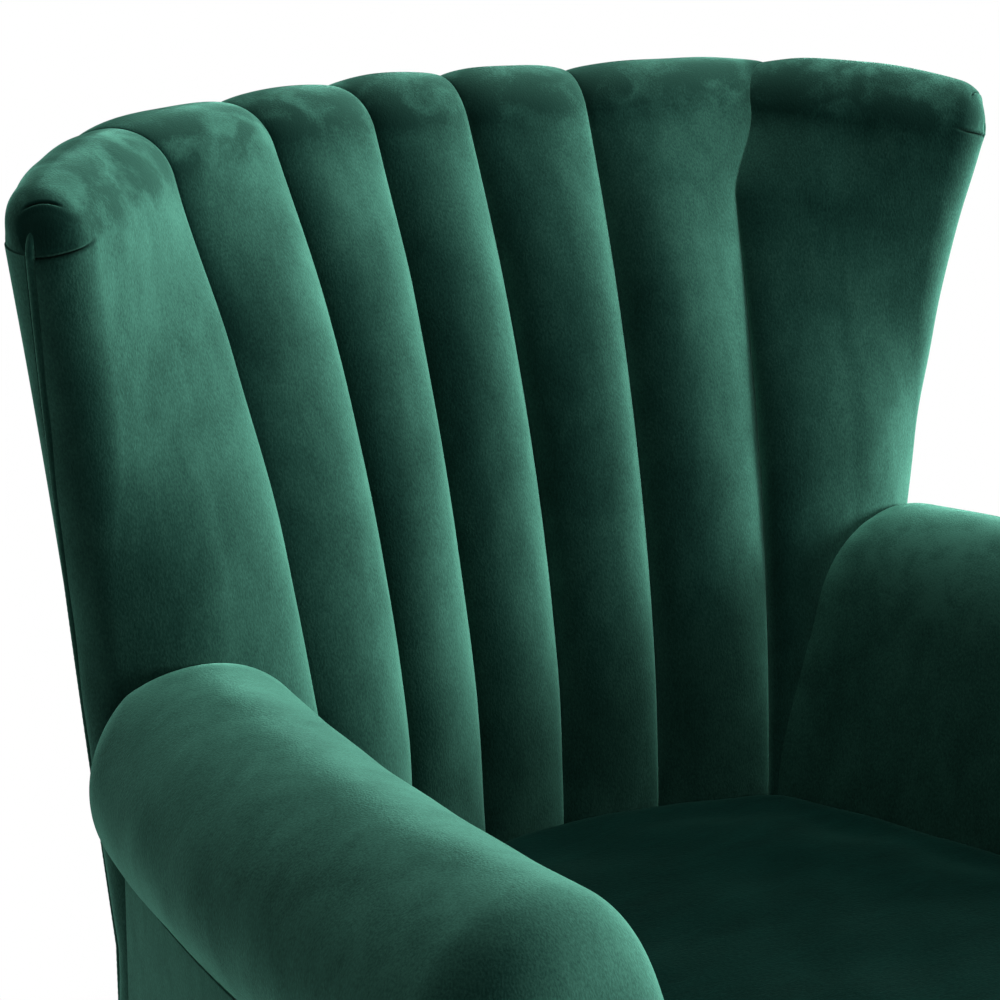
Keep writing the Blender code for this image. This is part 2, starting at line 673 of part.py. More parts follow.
def board(name, path, thickness, z0, z1, mat, col):
    """A board bent along a plan path, standing on edge."""
    path = np.asarray(path, float)
    run = unit(np.gradient(path, axis=0))
    side = np.stack([-run[:, 1], run[:, 0]], axis=-1) * thickness / 2
    grids = []
    for off in (side, -side):
        ends = [np.concatenate([path + off, np.full((len(path), 1), z)], axis=1) for z in (z0, z1)]
        grids.append(np.stack(ends, axis=1))
    return ease_edges(thick(name, grids[0], grids[1], mat, col))


def block(name, x, y, z, mat, col):
    """A square timber between three pairs of limits."""
    ends = [[[(a, b, h) for a in x] for b in y] for h in z]
    return ease_edges(thick(name, ends[0], ends[1], mat, col))


def post_at(z):
    """Middle of the right back post at a height."""
    t = (z - RAIL_Z) / (POST_TOP_Z - RAIL_Z)
    return np.array(POST_FOOT) * (1 - t) + np.array(POST_TOP) * t


def back_post(name, mat, col, flip):
    """Raked back post."""
    half = POST_T / 2
    grids = []
    for z in (RAIL_Z, POST_TOP_Z):
        x, y = post_at(z)
        grids.append([[(x - half, y - half, z), (x + half, y - half, z)],
                      [(x - half, y + half, z), (x + half, y + half, z)]])
    obj = ease_edges(thick(name, grids[0], grids[1], mat, col))
    if flip:
        flip_mesh(obj)
    return obj


def rail_y(x, z, middle):
    """Depth of a curved back rail at a width: a parabola from its middle to the posts."""
    px, py = post_at(z)
    return middle + (py - middle) * (np.asarray(x, float) / px) ** 2


def back_rail(name, z0, z1, middle, mat, col):
    """Curved rail between the back posts."""
    half = float(post_at(z0)[0]) - POST_T / 2 - GAP
    x = np.linspace(-half, half, 9)
    path = np.stack([x, rail_y(x, (z0 + z1) / 2, middle)], axis=-1)
    obj = board(name, path, RAIL_T, z0, z1, mat, col)
    for v in obj.data.vertices:
        if abs(abs(v.co.x) - half) < 0.012:
            v.co.x = math.copysign(half, v.co.x)
    return obj


def strap(name, x0, mat, col):
    """Back webbing from the lower rail to the top rail, in front of all three."""
    (_, t0, t1, tm), _, (_, l0, l1, lm) = BACK_RAILS
    x = x0 + np.linspace(-0.5, 0.5, 4) * STRAP_W
    outer, inner = [], []
    for z in np.linspace(l0 + 0.004, t1 - 0.004, 3):
        s = (z - l1) / (t1 - l1)
        low, high = rail_y(x, (l0 + l1) / 2, lm), rail_y(x, (t0 + t1) / 2, tm)
        slope = 2 * (tm - post_at((t0 + t1) / 2)[1]) * x / post_at((t0 + t1) / 2)[0] ** 2
        y = low * (1 - s) + high * s - RAIL_T / 2 * np.hypot(1, slope) - STRAP_T / 2 - GAP
        for grid, off in ((outer, -STRAP_T / 2), (inner, STRAP_T / 2)):
            grid.append(np.stack([x, y + off, np.full(4, z)], axis=-1))
    return thick(name, outer, inner, mat, col)


def wing_board(name, mat, col, flip):
    """Wing frame board from the back post towards the wing edge."""
    outer, inner = [], []
    for z in np.linspace(SEAT_Z + 0.03, POST_TOP_Z - 0.02, 5):
        x, y = post_at(z)
        start = np.array([x + POST_T / 2 + GAP, y])
        seam, edge = plan(OUTER_SEAM, z), plan(WING_EDGE, z)
        across = unit(edge - seam)
        back = np.array([-across[1], across[0]])
        end = edge - across * (WING_R + 0.004) + back * WING_R * 0.48
        side = unit(np.array([-(end - start)[1], (end - start)[0]])) * WING_BOARD_T / 2
        part = np.linspace(0.0, 1.0, 2)[:, None]
        mid = start * (1 - part) + end * part
        for grid, off in ((outer, -side), (inner, side)):
            pts = mid + off
            pts[0, 0] = start[0]
            grid.append(np.concatenate([pts, np.full((2, 1), z)], axis=1))
    obj = thick(name, outer, inner, mat, col)
    if flip:
        flip_mesh(obj)
    return obj


def leg_axis(ends, z):
    """Middle of a raked leg at a height, also above its top where the bolt runs on."""
    t = (np.asarray(z, float) - GLIDE_H) / (LEG_TOP - GLIDE_H)
    top, foot = np.array(ends[0]), np.array(ends[1])
    return foot + (top - foot) * t


def raked(name, ends, profile, sides, mat, col):
    """A turned piece whose rings stay level while its middle follows the leg's rake."""
    a = np.linspace(0.0, 2 * math.pi, sides, endpoint=False)
    loops = []
    for r, z in profile[1:-1]:
        mid = leg_axis(ends, z)
        loops.append(np.stack([mid[0] + r * np.cos(a), mid[1] + r * np.sin(a), np.full(sides, z)], axis=-1))
    first, last = profile[0][1], profile[-1][1]
    return rings(name, loops, mat, col, (*leg_axis(ends, first), first), (*leg_axis(ends, last), last))


def drill(obj, ends, z0, z1, radius, cutters):
    """Drills the bolt's bore out of a piece."""
    cut = raked(obj.name + "_bore", ends, ((0, z0), (radius, z0), (radius, z1), (0, z1)), 12, None, cutters)
    cut.hide_render = True
    cut.display_type = "WIRE"
    mod = obj.modifiers.new("bore_" + cut.name, "BOOLEAN")
    mod.operation = "DIFFERENCE"
    mod.solver = "EXACT"
    mod.object = cut


def main():
    """Builds every piece of the chair."""
    for obj in list(bpy.data.objects):
        bpy.data.objects.remove(obj, do_unlink=True)
    parts = collection("wingback_chair")
    cutters = collection("cutters")
    velvet = [0.016, 0.105, 0.075]

    def cloth(name):
        return material(name + "_velvet", velvet, 0.75)

    def timber(name):
        return material(name + "_timber", (0.50, 0.36, 0.22), 0.7)

    centre, inner, outer, wing = back_lines()
    mirrored = [(mirror_x(p), mirror_x(n)) for p, n in (centre, inner, outer)]
    seams = [mirrored[2], mirrored[1], mirrored[0], centre, inner, outer]
    for k in range(5):
        name = f"back_channel_{k + 1}"
        channel(name, seams[k], seams[k + 1], cloth(name), parts)
    blocks = {}
    for side, flip in (("right", True), ("left", False)):
        sign = -1.0 if flip else 1.0
        name = "wing_pad_" + side
        wing_pad(name, (outer, wing), cloth(name), parts, flip)
        name = "outside_wing_panel_" + side
        outside_wing(name, cloth(name), parts, flip)
        name = "wing_welt_" + side
        welt(name, cloth(name), parts, flip)
        name = "arm_pad_" + side
        arm_pad(name, cloth(name), parts, flip)
        name = "outside_arm_panel_" + side
        arm_panel(name, cloth(name), parts, flip)
        name = "arm_front_panel_" + side
        arm_facing(name, cloth(name), parts, flip)
        name = "back_post_" + side
        back_post(name, timber(name), parts, flip)
        name = "wing_board_" + side
        wing_board(name, timber(name), parts, flip)
        turn = np.array([sign, 1.0])

        post_y = (ARM_FRONT - ARM_NOSE + FRAME_SET, ARM_FRONT - ARM_NOSE + FRAME_SET + POST_T)
        board_y = np.linspace(ARM_START[1] - 0.008, post_y[0], 9)
        path = np.stack([arm_x(board_y), board_y], axis=-1) * turn
        name = "arm_board_" + side
        board(name, path, ARM_BOARD_W, SLOT_TOP - GAP - ARM_BOARD_T, SLOT_TOP - GAP, timber(name), parts)
        under = SLOT_TOP - 2 * GAP - ARM_BOARD_T
        x = float(arm_x(sum(post_y) / 2))
        lim = sorted((sign * (x - ARM_POST_W / 2), sign * (x + ARM_POST_W / 2)))
        name = "arm_front_post_" + side
        block(name, lim, post_y, (RAIL_Z, under), timber(name), parts)
        x = float(arm_x(ARM_REAR_POST_Y))
        lim = sorted(sign * (x + off) for off in ARM_REAR_POST_X)
        name = "arm_rear_post_" + side
        span = (ARM_REAR_POST_Y - POST_T / 2, ARM_REAR_POST_Y + POST_T / 2)
        block(name, lim, span, (RAIL_Z + RAIL_H + GAP, under), timber(name), parts)
        rail_end = (POST_FOOT[1] - POST_T / 2 - GAP, post_y[1] + GAP)
        y = np.linspace(rail_end[0], rail_end[1], 9)
        path = np.stack([arm_x(y) - SIDE_RAIL_IN, y], axis=-1) * turn
        name = "seat_side_rail_" + side
        rail = board(name, path, RAIL_T, RAIL_Z, RAIL_Z + RAIL_H, timber(name), parts)
        for v in rail.data.vertices:
            for end in rail_end:
                if abs(v.co.y - end) < 0.008:
                    v.co.y = end

        inside = float(arm_x(post_y[1] + BLOCK_W)) - SIDE_RAIL_IN - RAIL_T / 2 - SNUG
        lim = sorted((sign * (inside - BLOCK_W), sign * inside))
        name = "corner_block_front_" + side
        y0 = post_y[0] + RAIL_T + GAP
        block_z = (RAIL_Z + GAP, BLOCK_TOP)
        blocks[name] = block(name, lim, (y0, y0 + BLOCK_W), block_z, timber(name), parts)
        inside = float(arm_x(rail_end[0])) - SIDE_RAIL_IN - RAIL_T / 2 - SNUG
        lim = sorted((sign * (inside - BLOCK_W), sign * inside))
        name = "corner_block_rear_" + side
        y1 = rail_end[0]
        blocks[name] = block(name, lim, (y1 - BLOCK_W, y1), block_z, timber(name), parts)

    outside_back(cloth("outside_back_panel"), parts)
    seat_cushion(cloth("seat_cushion"), parts)
    front_border(cloth("seat_front_border"), parts)
    felt = material("seat_deck_pad_felt", (0.32, 0.31, 0.29), 0.95)
    seat_deck(felt, parts)
    for k, x in enumerate(SPRING_X):
        name = f"seat_spring_{k + 1}"
        spring(name, x, material(name + "_wire", (0.35, 0.35, 0.36), 0.4, 1.0), parts)
    for k, x in enumerate(STRAP_X):
        name = f"back_strap_{k + 1}"
        strap(name, x, material(name + "_webbing", (0.05, 0.05, 0.055), 0.9), parts)
    for name, z0, z1, middle in BACK_RAILS:
        name = f"back_{name}_rail"
        back_rail(name, z0, z1, middle, timber(name), parts)
    front_y = ARM_FRONT - ARM_NOSE + FRAME_SET
    rail_z = (RAIL_Z, RAIL_Z + RAIL_H)
    half = float(arm_x(front_y + POST_T / 2)) - ARM_POST_W / 2 - GAP
    wood = timber("seat_front_rail")
    block("seat_front_rail", (-half, half), (front_y, front_y + RAIL_T), rail_z, wood, parts)
    half = POST_FOOT[0] - POST_T / 2 - GAP
    rear_y = POST_FOOT[1] - POST_T / 2 + FRAME_SET
    wood = timber("seat_rear_rail")
    block("seat_rear_rail", (-half, half), (rear_y, rear_y + RAIL_T), rail_z, wood, parts)

    y = np.linspace(POST_FOOT[1] - 0.050, front_y + 0.003, 9)
    edge = np.stack([arm_x(y) + ARM_PANEL_X - ARM_PANEL_T - 0.004, y], axis=-1)
    keys = [np.array(q[0]) - (0.004, PANEL_T + 0.004) for q in (SHELL_CENTRE, SHELL_INNER, SHELL_CORNER)]
    rear = [(0.0, keys[0][1]), *keys[:2], keys[2] - (0.012, 0.0)]
    loop = full_loop(np.concatenate([rear, edge, [(0.0, front_y + 0.003)]]))
    top = RAIL_Z - GAP
    loops = [np.concatenate([loop, np.full((len(loop), 1), z)], axis=1) for z in (top - COVER_T, top)]
    cover = rings("dust_cover", loops, material("dust_cover_cloth", (0.02, 0.02, 0.022), 0.95), parts)

    for row, ends in (("front", FRONT_LEG), ("rear", REAR_LEG)):
        for side, sign in (("right", -1.0), ("left", 1.0)):
            lean = [np.array(e) * np.array([sign, 1.0]) for e in ends]
            tag = f"{row}_{side}"
            bore = BOLT_R + GAP
            foot = GLIDE_H + GAP
            profile = (
                (0.0, BOLT_FOOT), (bore, BOLT_FOOT), (bore, LEG_TOP), (LEG_R_TOP - 0.0015, LEG_TOP),
                (LEG_R_TOP, LEG_TOP - 0.002), (LEG_R_TOP, LEG_TOP - 0.012),
                (LEG_R_TOP - 0.0025, LEG_TOP - 0.016), (LEG_R_TOP - 0.001, LEG_TOP - 0.030), LEG_MID,
                (LEG_R_FOOT, foot + 0.003), (LEG_R_FOOT - 0.0015, foot), (0.0, foot),
            )
            stain = material(f"leg_{tag}_stain", (0.10, 0.045, 0.022), 0.35)
            raked(f"leg_{tag}", lean, profile, 16, stain, parts)
            steel = material(f"leg_bolt_{tag}_steel", (0.55, 0.55, 0.56), 0.35, 1.0)
            ends_z = (BOLT_FOOT + GAP, BOLT_TOP)
            profile = ((0, ends_z[0]), (BOLT_R, ends_z[0]), (BOLT_R, ends_z[1]), (0, ends_z[1]))
            raked(f"leg_bolt_{tag}", lean, profile, 12, steel, parts)
            nylon = material(f"leg_glide_{tag}_nylon", (0.03, 0.03, 0.03), 0.5)
            profile = ((0, 0), (GLIDE_R - 0.0015, 0), (GLIDE_R, 0.0015), (GLIDE_R, GLIDE_H), (0, GLIDE_H))
            raked(f"leg_glide_{tag}", (lean[1], lean[1]), profile, 14, nylon, parts)
            drill(blocks[f"corner_block_{tag}"], lean, COVER_BORE[0], BOLT_TOP + GAP, bore, cutters)
            drill(cover, lean, *COVER_BORE, bore, cutters)


main()
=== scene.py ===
"""Wingback chair, dressed: velvet channel back, wings, rolled arms, seat and turned legs.

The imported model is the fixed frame.  Every new piece is a surface worked out with numpy as a function
of two parameters, or a profile carried along a path, and stands for the solid that it replaces.
Frame: X across, front towards -Y, Z up, floor at Z = 0, metres.
"""

import logging
import math
from collections.abc import Sequence
from dataclasses import dataclass, field
from enum import Enum

import bmesh
import bpy
import numpy as np
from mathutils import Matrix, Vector


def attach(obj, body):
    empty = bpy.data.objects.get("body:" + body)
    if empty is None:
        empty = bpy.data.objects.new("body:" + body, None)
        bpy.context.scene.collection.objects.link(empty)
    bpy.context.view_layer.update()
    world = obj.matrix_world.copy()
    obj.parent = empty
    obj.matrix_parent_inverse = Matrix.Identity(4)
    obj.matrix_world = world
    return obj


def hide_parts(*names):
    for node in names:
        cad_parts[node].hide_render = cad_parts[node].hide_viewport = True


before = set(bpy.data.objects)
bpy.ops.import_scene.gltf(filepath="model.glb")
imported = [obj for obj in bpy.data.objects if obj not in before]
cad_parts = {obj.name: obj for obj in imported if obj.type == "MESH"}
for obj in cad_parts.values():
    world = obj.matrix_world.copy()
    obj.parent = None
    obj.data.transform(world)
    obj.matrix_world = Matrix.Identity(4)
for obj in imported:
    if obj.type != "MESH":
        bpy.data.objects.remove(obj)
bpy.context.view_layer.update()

log = logging.getLogger("wingback_chair")

Array = np.ndarray
Piece = bpy.types.Object
Plan = tuple[float, float]
Line = tuple[Plan, ...]
Rgb = tuple[float, float, float]

# The layout's depths are measured from this far in front of the frame's own zero
SETBACK = 0.01355
# Room between sewn neighbours, and between a soft piece and what it lies against
GAP = 0.0003
SNUG = 0.001
# Points nearer than this are made one, and edges that turn by more than this stay crisp
WELD = 1e-6
CRISP = math.radians(50)
# Keeps a division clear of zero
TINY = 1e-12
# A smoothed path is sampled this often for each of its points, and its bell ends this many widths out
PATH_SAMPLES = 8
BELL_WIDTHS = 2.5
# Paces of the padding's slow waves along X, Y and Z in radians per metre, and where each wave starts
LUMP_WAVES = np.array([[52.0, 31.0, 60.0], [-71.0, 44.0, 38.0], [95.0, -63.0, 21.0], [30.0, 88.0, -97.0]])
LUMP_STARTS = np.array([0.3, 1.7, 4.1, 2.6])


class Side(Enum):
    """The sitter's side that a paired piece is on."""

    LEFT = 1.0
    RIGHT = -1.0

    @property
    def tag(self) -> str:
        """The ending of a paired piece's name."""
        return self.name.lower()

    def place(self, points: Array) -> Array:
        """Points drawn for the left side, moved to this side."""
        return points * np.array([self.value, 1.0, 1.0])


def unit(v: Array) -> Array:
    """Vectors scaled to length one."""
    return v / np.linalg.norm(v, axis=-1, keepdims=True)


def ease(t: Array | float) -> Array:
    """Rises from 0 to 1 with level ends: 3 t squared less 2 t cubed."""
    t = np.clip(t, 0.0, 1.0)
    return t * t * (3 - 2 * t)


def mix(a: Array, b: Array, t: Array) -> Array:
    """Straight blend from a to b."""
    return a * (1 - t) + b * t


def smooth_path(points: Array, count: int, reach: float, closed: bool = False) -> Array:
    """A corner-free path through a polyline.

    The polyline is sampled evenly along its length and averaged over a bell-shaped window; an open
    path is carried on by point reflection past its ends, so that they stay where they are.

    Args:
        points: Polyline points, one per row.
        count: Number of points in the result.
        reach: Width of the bell in metres.
        closed: Whether the path joins up with itself.

    Returns:
        The smoothed points.
    """
    pts = np.concatenate([points, points[:1]]) if closed else points
    run = np.concatenate([[0.0], np.cumsum(np.linalg.norm(np.diff(pts, axis=0), axis=1))])
    fine = PATH_SAMPLES * count
    s = np.linspace(0.0, run[-1], fine, endpoint=not closed)
    dense = np.stack([np.interp(s, run, pts[:, k]) for k in range(pts.shape[1])], axis=-1)
    half = max(1, min(int(BELL_WIDTHS * reach / run[-1] * fine), fine // 2 - 1))
    bell = np.exp(-0.5 * (np.arange(-half, half + 1) / (half / BELL_WIDTHS)) ** 2)
    bell /= bell.sum()
    if closed:
        before, after = dense[-half:], dense[:half]
    else:
        before, after = 2 * dense[0] - dense[half:0:-1], 2 * dense[-1] - dense[-2:-half - 2:-1]
    wide = np.concatenate([before, dense, after])
    soft = np.stack([np.convolve(wide[:, k], bell, mode="valid") for k in range(pts.shape[1])], axis=-1)
    pick = np.linspace(0, fine if closed else fine - 1, count, endpoint=not closed)
    return soft[np.round(pick).astype(int)]


def lumps(points: Array, height: float) -> Array:
    """Slow unevenness of hand-filled padding: the mean of four crossed sine waves, 47 to 74 mm long.

    Args:
        points: Points at which the padding's height is wanted.
        height: Greatest height of the waves together.

    Returns:
        Heights, one per point.
    """
    return height * np.mean(np.sin(points @ LUMP_WAVES.T + LUMP_STARTS), axis=-1)


def grid_normals(grid: Array) -> Array:
    """Unit normals of a point grid: rows' direction crossed with columns' direction."""
    return unit(np.cross(np.gradient(grid, axis=0), np.gradient(grid, axis=1)) + TINY)


def full_turn(count: int) -> Array:
    """Angles spaced evenly round a circle."""
    return np.linspace(0.0, 2 * math.pi, count, endpoint=False)


def put(name: str, data: bpy.types.ID) -> Piece:
    """Links a new object into the scene.

    Args:
        name: The object's name.
        data: Its mesh, camera or lamp.

    Returns:
        The object, at the origin.
    """
    made = bpy.data.objects.new(name, data)
    bpy.context.scene.collection.objects.link(made)
    return made


def aim(piece: Piece, place: Sequence[float], target: Sequence[float]) -> None:
    """Stands a camera or lamp at a place and turns it to look at a target."""
    piece.location = place
    piece.rotation_euler = (Vector(target) - Vector(place)).to_track_quat("-Z", "Y").to_euler()


class MeshKit:
    """Turns point grids into closed meshes with their place in the vertices."""

    @staticmethod
    def quads(rows: int, cols: int, closed: bool = False) -> Array:
        """Faces of a point grid numbered row by row.

        Args:
            rows: Number of rows.
            cols: Number of points in a row.
            closed: Whether the last column joins the first.

        Returns:
            Corner numbers, four per face.
        """
        i = np.arange(rows - 1)[:, None]
        j = np.arange(cols if closed else cols - 1)[None, :]
        a = i * cols + j
        b = i * cols + (j + 1) % cols
        return np.stack([a, b, b + cols, a + cols], axis=-1).reshape(-1, 4)

    @staticmethod
    def add(name: str, verts: Array, faces: list, marks: dict[str, Array] | None = None) -> Piece:
        """Makes a piece from points and faces, facing out and shaded smooth.

        Args:
            name: The piece's name.
            verts: Points in the layout's own depth.
            faces: Corner numbers of each face.
            marks: Named values at each point that the velvet reads, such as how much painted shade it gets in
                a fold.

        Returns:
            The linked object.
        """
        mesh = bpy.data.meshes.new(name)
        mesh.from_pydata((verts - np.array([0.0, SETBACK, 0.0])).tolist(), [], faces)
        for key, values in (marks or {}).items():
            mesh.attributes.new(key, "FLOAT", "POINT").data.foreach_set("value", values.astype(np.float32))
        bm = bmesh.new()
        bm.from_mesh(mesh)
        bmesh.ops.remove_doubles(bm, verts=bm.verts, dist=WELD)
        bmesh.ops.recalc_face_normals(bm, faces=bm.faces)
        bm.to_mesh(mesh)
        bm.free()
        mesh.shade_smooth()
        mesh.set_sharp_from_angle(angle=CRISP)
        return put(name, mesh)

    @classmethod
    def shell(cls, name: str, outer: Array, inner: Array, marks: dict[str, Array] | None = None) -> Piece:
        """A closed body between two point grids of one shape, joined along their four borders.

        Args:
            name: The piece's name.
            outer: Grid of the visible face.
            inner: Grid of the hidden face.
            marks: Named values at each point of the visible face.

        Returns:
            The piece.
        """
        m, n = outer.shape[:2]
        size = m * n
        face = cls.quads(m, n)
        number = np.arange(size).reshape(m, n)
        sides = [number[0], number[-1], number[:, 0], number[:, -1]]
        walls = [np.stack([q[:-1], q[1:], q[1:] + size, q[:-1] + size], axis=-1) for q in sides]
        faces = np.concatenate([face, face + size, *walls])
        verts = np.concatenate([outer.reshape(-1, 3), inner.reshape(-1, 3)])
        both = {key: np.concatenate([v.ravel(), np.zeros(size)]) for key, v in (marks or {}).items()}
        return cls.add(name, verts, faces.tolist(), both)

    @classmethod
    def stack(cls, name: str, loops: Array) -> Piece:
        """A closed body of loops stacked one on the next, with a fan to the middle of each end.

        Args:
            name: The piece's name.
            loops: Array of loops, each of the same number of points.

        Returns:
            The piece.
        """
        m, n = loops.shape[:2]
        verts = np.concatenate([loops.reshape(-1, 3), loops[[0, -1]].mean(axis=1)])
        ring = np.arange(n)
        fans = [np.stack([ring + k, np.roll(ring, -1) + k, np.full(n, m * n + e)], axis=-1)
                for e, k in enumerate((0, (m - 1) * n))]
        faces = cls.quads(m, n, closed=True).tolist() + fans[0].tolist() + fans[1].tolist()
        return cls.add(name, verts, faces)

    @classmethod
    def cord(cls, name: str, path: Array, radius: Array, sides: int = 14) -> Piece:
        """A round cord: a circle carried square along a path, with the radius given at each point.

        Args:
            name: The piece's name.
            path: Points of the cord's middle.
            radius: Radius at each point.
            sides: Points round the circle.

        Returns:
            The piece.
        """
        along = unit(np.gradient(path, axis=0))
        # Any direction that the cord never runs along
        aside = np.array([0.31, 0.17, 0.93])
        side = unit(np.cross(along, aside))
        lift = np.cross(side, along)
        a = full_turn(sides)[None, :, None]
        ring = np.cos(a) * side[:, None] + np.sin(a) * lift[:, None]
        return cls.stack(name, path[:, None] + radius[:, None, None] * ring)


class Shader:
    """A material's node tree, with short calls for the nodes that the finishes use."""

    # Numbers of a colour Mix node's two input sockets and of its result
    MIX_LOW = 6
    MIX_HIGH = 7
    MIX_RESULT = 2

    def __init__(self, name: str) -> None:
        """Starts a material with its Principled shader and Object coordinates.

        Args:
            name: The material's name.
        """
        self.material = bpy.data.materials.new(name)
        self.material.use_nodes = True
        self.tree = self.material.node_tree
        self.surface = self.tree.nodes["Principled BSDF"]
        self.place = self.node("ShaderNodeTexCoord").outputs["Object"]

    def node(self, kind: str, **settings: object) -> bpy.types.Node:
        """Adds a node and sets its properties.

        Args:
            kind: The node's type name.
            settings: Properties of the node by name.

        Returns:
            The node.
        """
        made = self.tree.nodes.new(kind)
        for key, value in settings.items():
            setattr(made, key, value)
        return made

    def link(self, source: object, target: object) -> None:
        """Joins two sockets."""
        self.tree.links.new(source, target)

    def fixed(self, **values: object) -> None:
        """Sets sockets of the Principled shader; an underline in a name stands for a space."""
        for key, value in values.items():
            self.surface.inputs[key.replace("_", " ")].default_value = value

    def paint(self, colour: object) -> None:
        """Joins a colour socket to the Principled shader's base colour."""
        self.link(colour, self.surface.inputs["Base Color"])

    def marked(self, key: str) -> object:
        """The value socket of a point attribute."""
        return self.node("ShaderNodeAttribute", attribute_name=key).outputs["Fac"]

    def noise(self, scale: float, detail: float, stretch: Sequence[float] = (1.0, 1.0, 1.0),
              twist: float = 0.0) -> object:
        """A noise pattern on Object coordinates.

        Args:
            scale: Pattern repeats per metre.
            detail: Number of finer layers.
            stretch: Scale of the pattern along each axis.
            twist: Distortion of the pattern.

        Returns:
            The pattern's value socket.
        """
        mapping = self.node("ShaderNodeMapping")
        mapping.inputs["Scale"].default_value = stretch
        made = self.node("ShaderNodeTexNoise")
        made.inputs["Scale"].default_value = scale
        made.inputs["Detail"].default_value = detail
        made.inputs["Distortion"].default_value = twist
        self.link(self.place, mapping.inputs["Vector"])
        self.link(mapping.outputs["Vector"], made.inputs["Vector"])
        return made.outputs["Fac"]

    def blend(self, parts: Sequence[tuple[object, float]]) -> object:
        """Adds up sockets, each times its weight.

        Args:
            parts: Value sockets with their weights.

        Returns:
            The sum's socket.
        """
        total = None
        for socket, weight in parts:
            step = self.node("ShaderNodeMath", operation="MULTIPLY_ADD")
            step.inputs[1].default_value = weight
            step.inputs[2].default_value = 0.0
            self.link(socket, step.inputs[0])
            if total is not None:
                self.link(total, step.inputs[2])
            total = step.outputs[0]
        return total

    def product(self, first: object, second: object) -> object:
        """One value times another.

        Args:
            first: A value socket.
            second: The other one.

        Returns:
            The product's socket.
        """
        made = self.node("ShaderNodeMath", operation="MULTIPLY")
        self.link(first, made.inputs[0])
        self.link(second, made.inputs[1])
        return made.outputs[0]

    def mixed(self, factor: object, low: object, high: object | Rgb) -> object:
        """A colour between two others.

        Args:
            factor: Value socket that goes from 0 for the low colour to 1 for the high one.
            low: The low colour's socket.
            high: The high colour, or its socket.

        Returns:
            The colour socket.
        """
        made = self.node("ShaderNodeMix", data_type="RGBA")
        self.link(factor, made.inputs["Factor"])
        self.link(low, made.inputs[self.MIX_LOW])
        if isinstance(high, tuple):
            made.inputs[self.MIX_HIGH].default_value = (*high, 1.0)
        else:
            self.link(high, made.inputs[self.MIX_HIGH])
        return made.outputs[self.MIX_RESULT]

    def ramp(self, source: object, stops: Sequence[tuple[float, Sequence[float]]]) -> object:
        """A colour ramp over a value.

        Args:
            source: The value socket.
            stops: Positions with their colours.

        Returns:
            The colour socket.
        """
        made = self.node("ShaderNodeValToRGB")
        band = made.color_ramp.elements
        # A new ramp has two stops already
        for k, (position, colour) in enumerate(stops):
            element = band[k] if k < 2 else band.new(position)
            element.position = position
            element.color = (*colour, 1.0)
        self.link(source, made.inputs["Fac"])
        return made.outputs["Color"]

    def slant(self, face: object, edge: object, share: float, power: float) -> object:
        """Painted sheen: the colour seen straight on, and a painted colour that takes over at a slant.

        Args:
            face: Colour socket for the straight view.
            edge: Colour socket for the slanting view.
            share: How much of the edge colour shows at the most.
            power: How late it comes in.

        Returns:
            The blended colour socket.
        """
        facing = self.node("ShaderNodeLayerWeight")
        late = self.node("ShaderNodeMath", operation="POWER")
        late.inputs[1].default_value = power
        self.link(facing.outputs["Facing"], late.inputs[0])
        return self.mixed(self.blend(((late.outputs[0], share),)), face, edge)

    def relief(self, layers: Sequence[tuple[object, float, float]]) -> None:
        """Lays bumps one on another.

        Args:
            layers: Height sockets, each with its strength and its depth in metres.
        """
        last = None
        for height, strength, depth in layers:
            bump = self.node("ShaderNodeBump")
            bump.inputs["Strength"].default_value = strength
            bump.inputs["Distance"].default_value = depth
            self.link(height, bump.inputs["Height"])
            if last is not None:
                self.link(last, bump.inputs["Normal"])
            last = bump.outputs["Normal"]
        self.link(last, self.surface.inputs["Normal"])


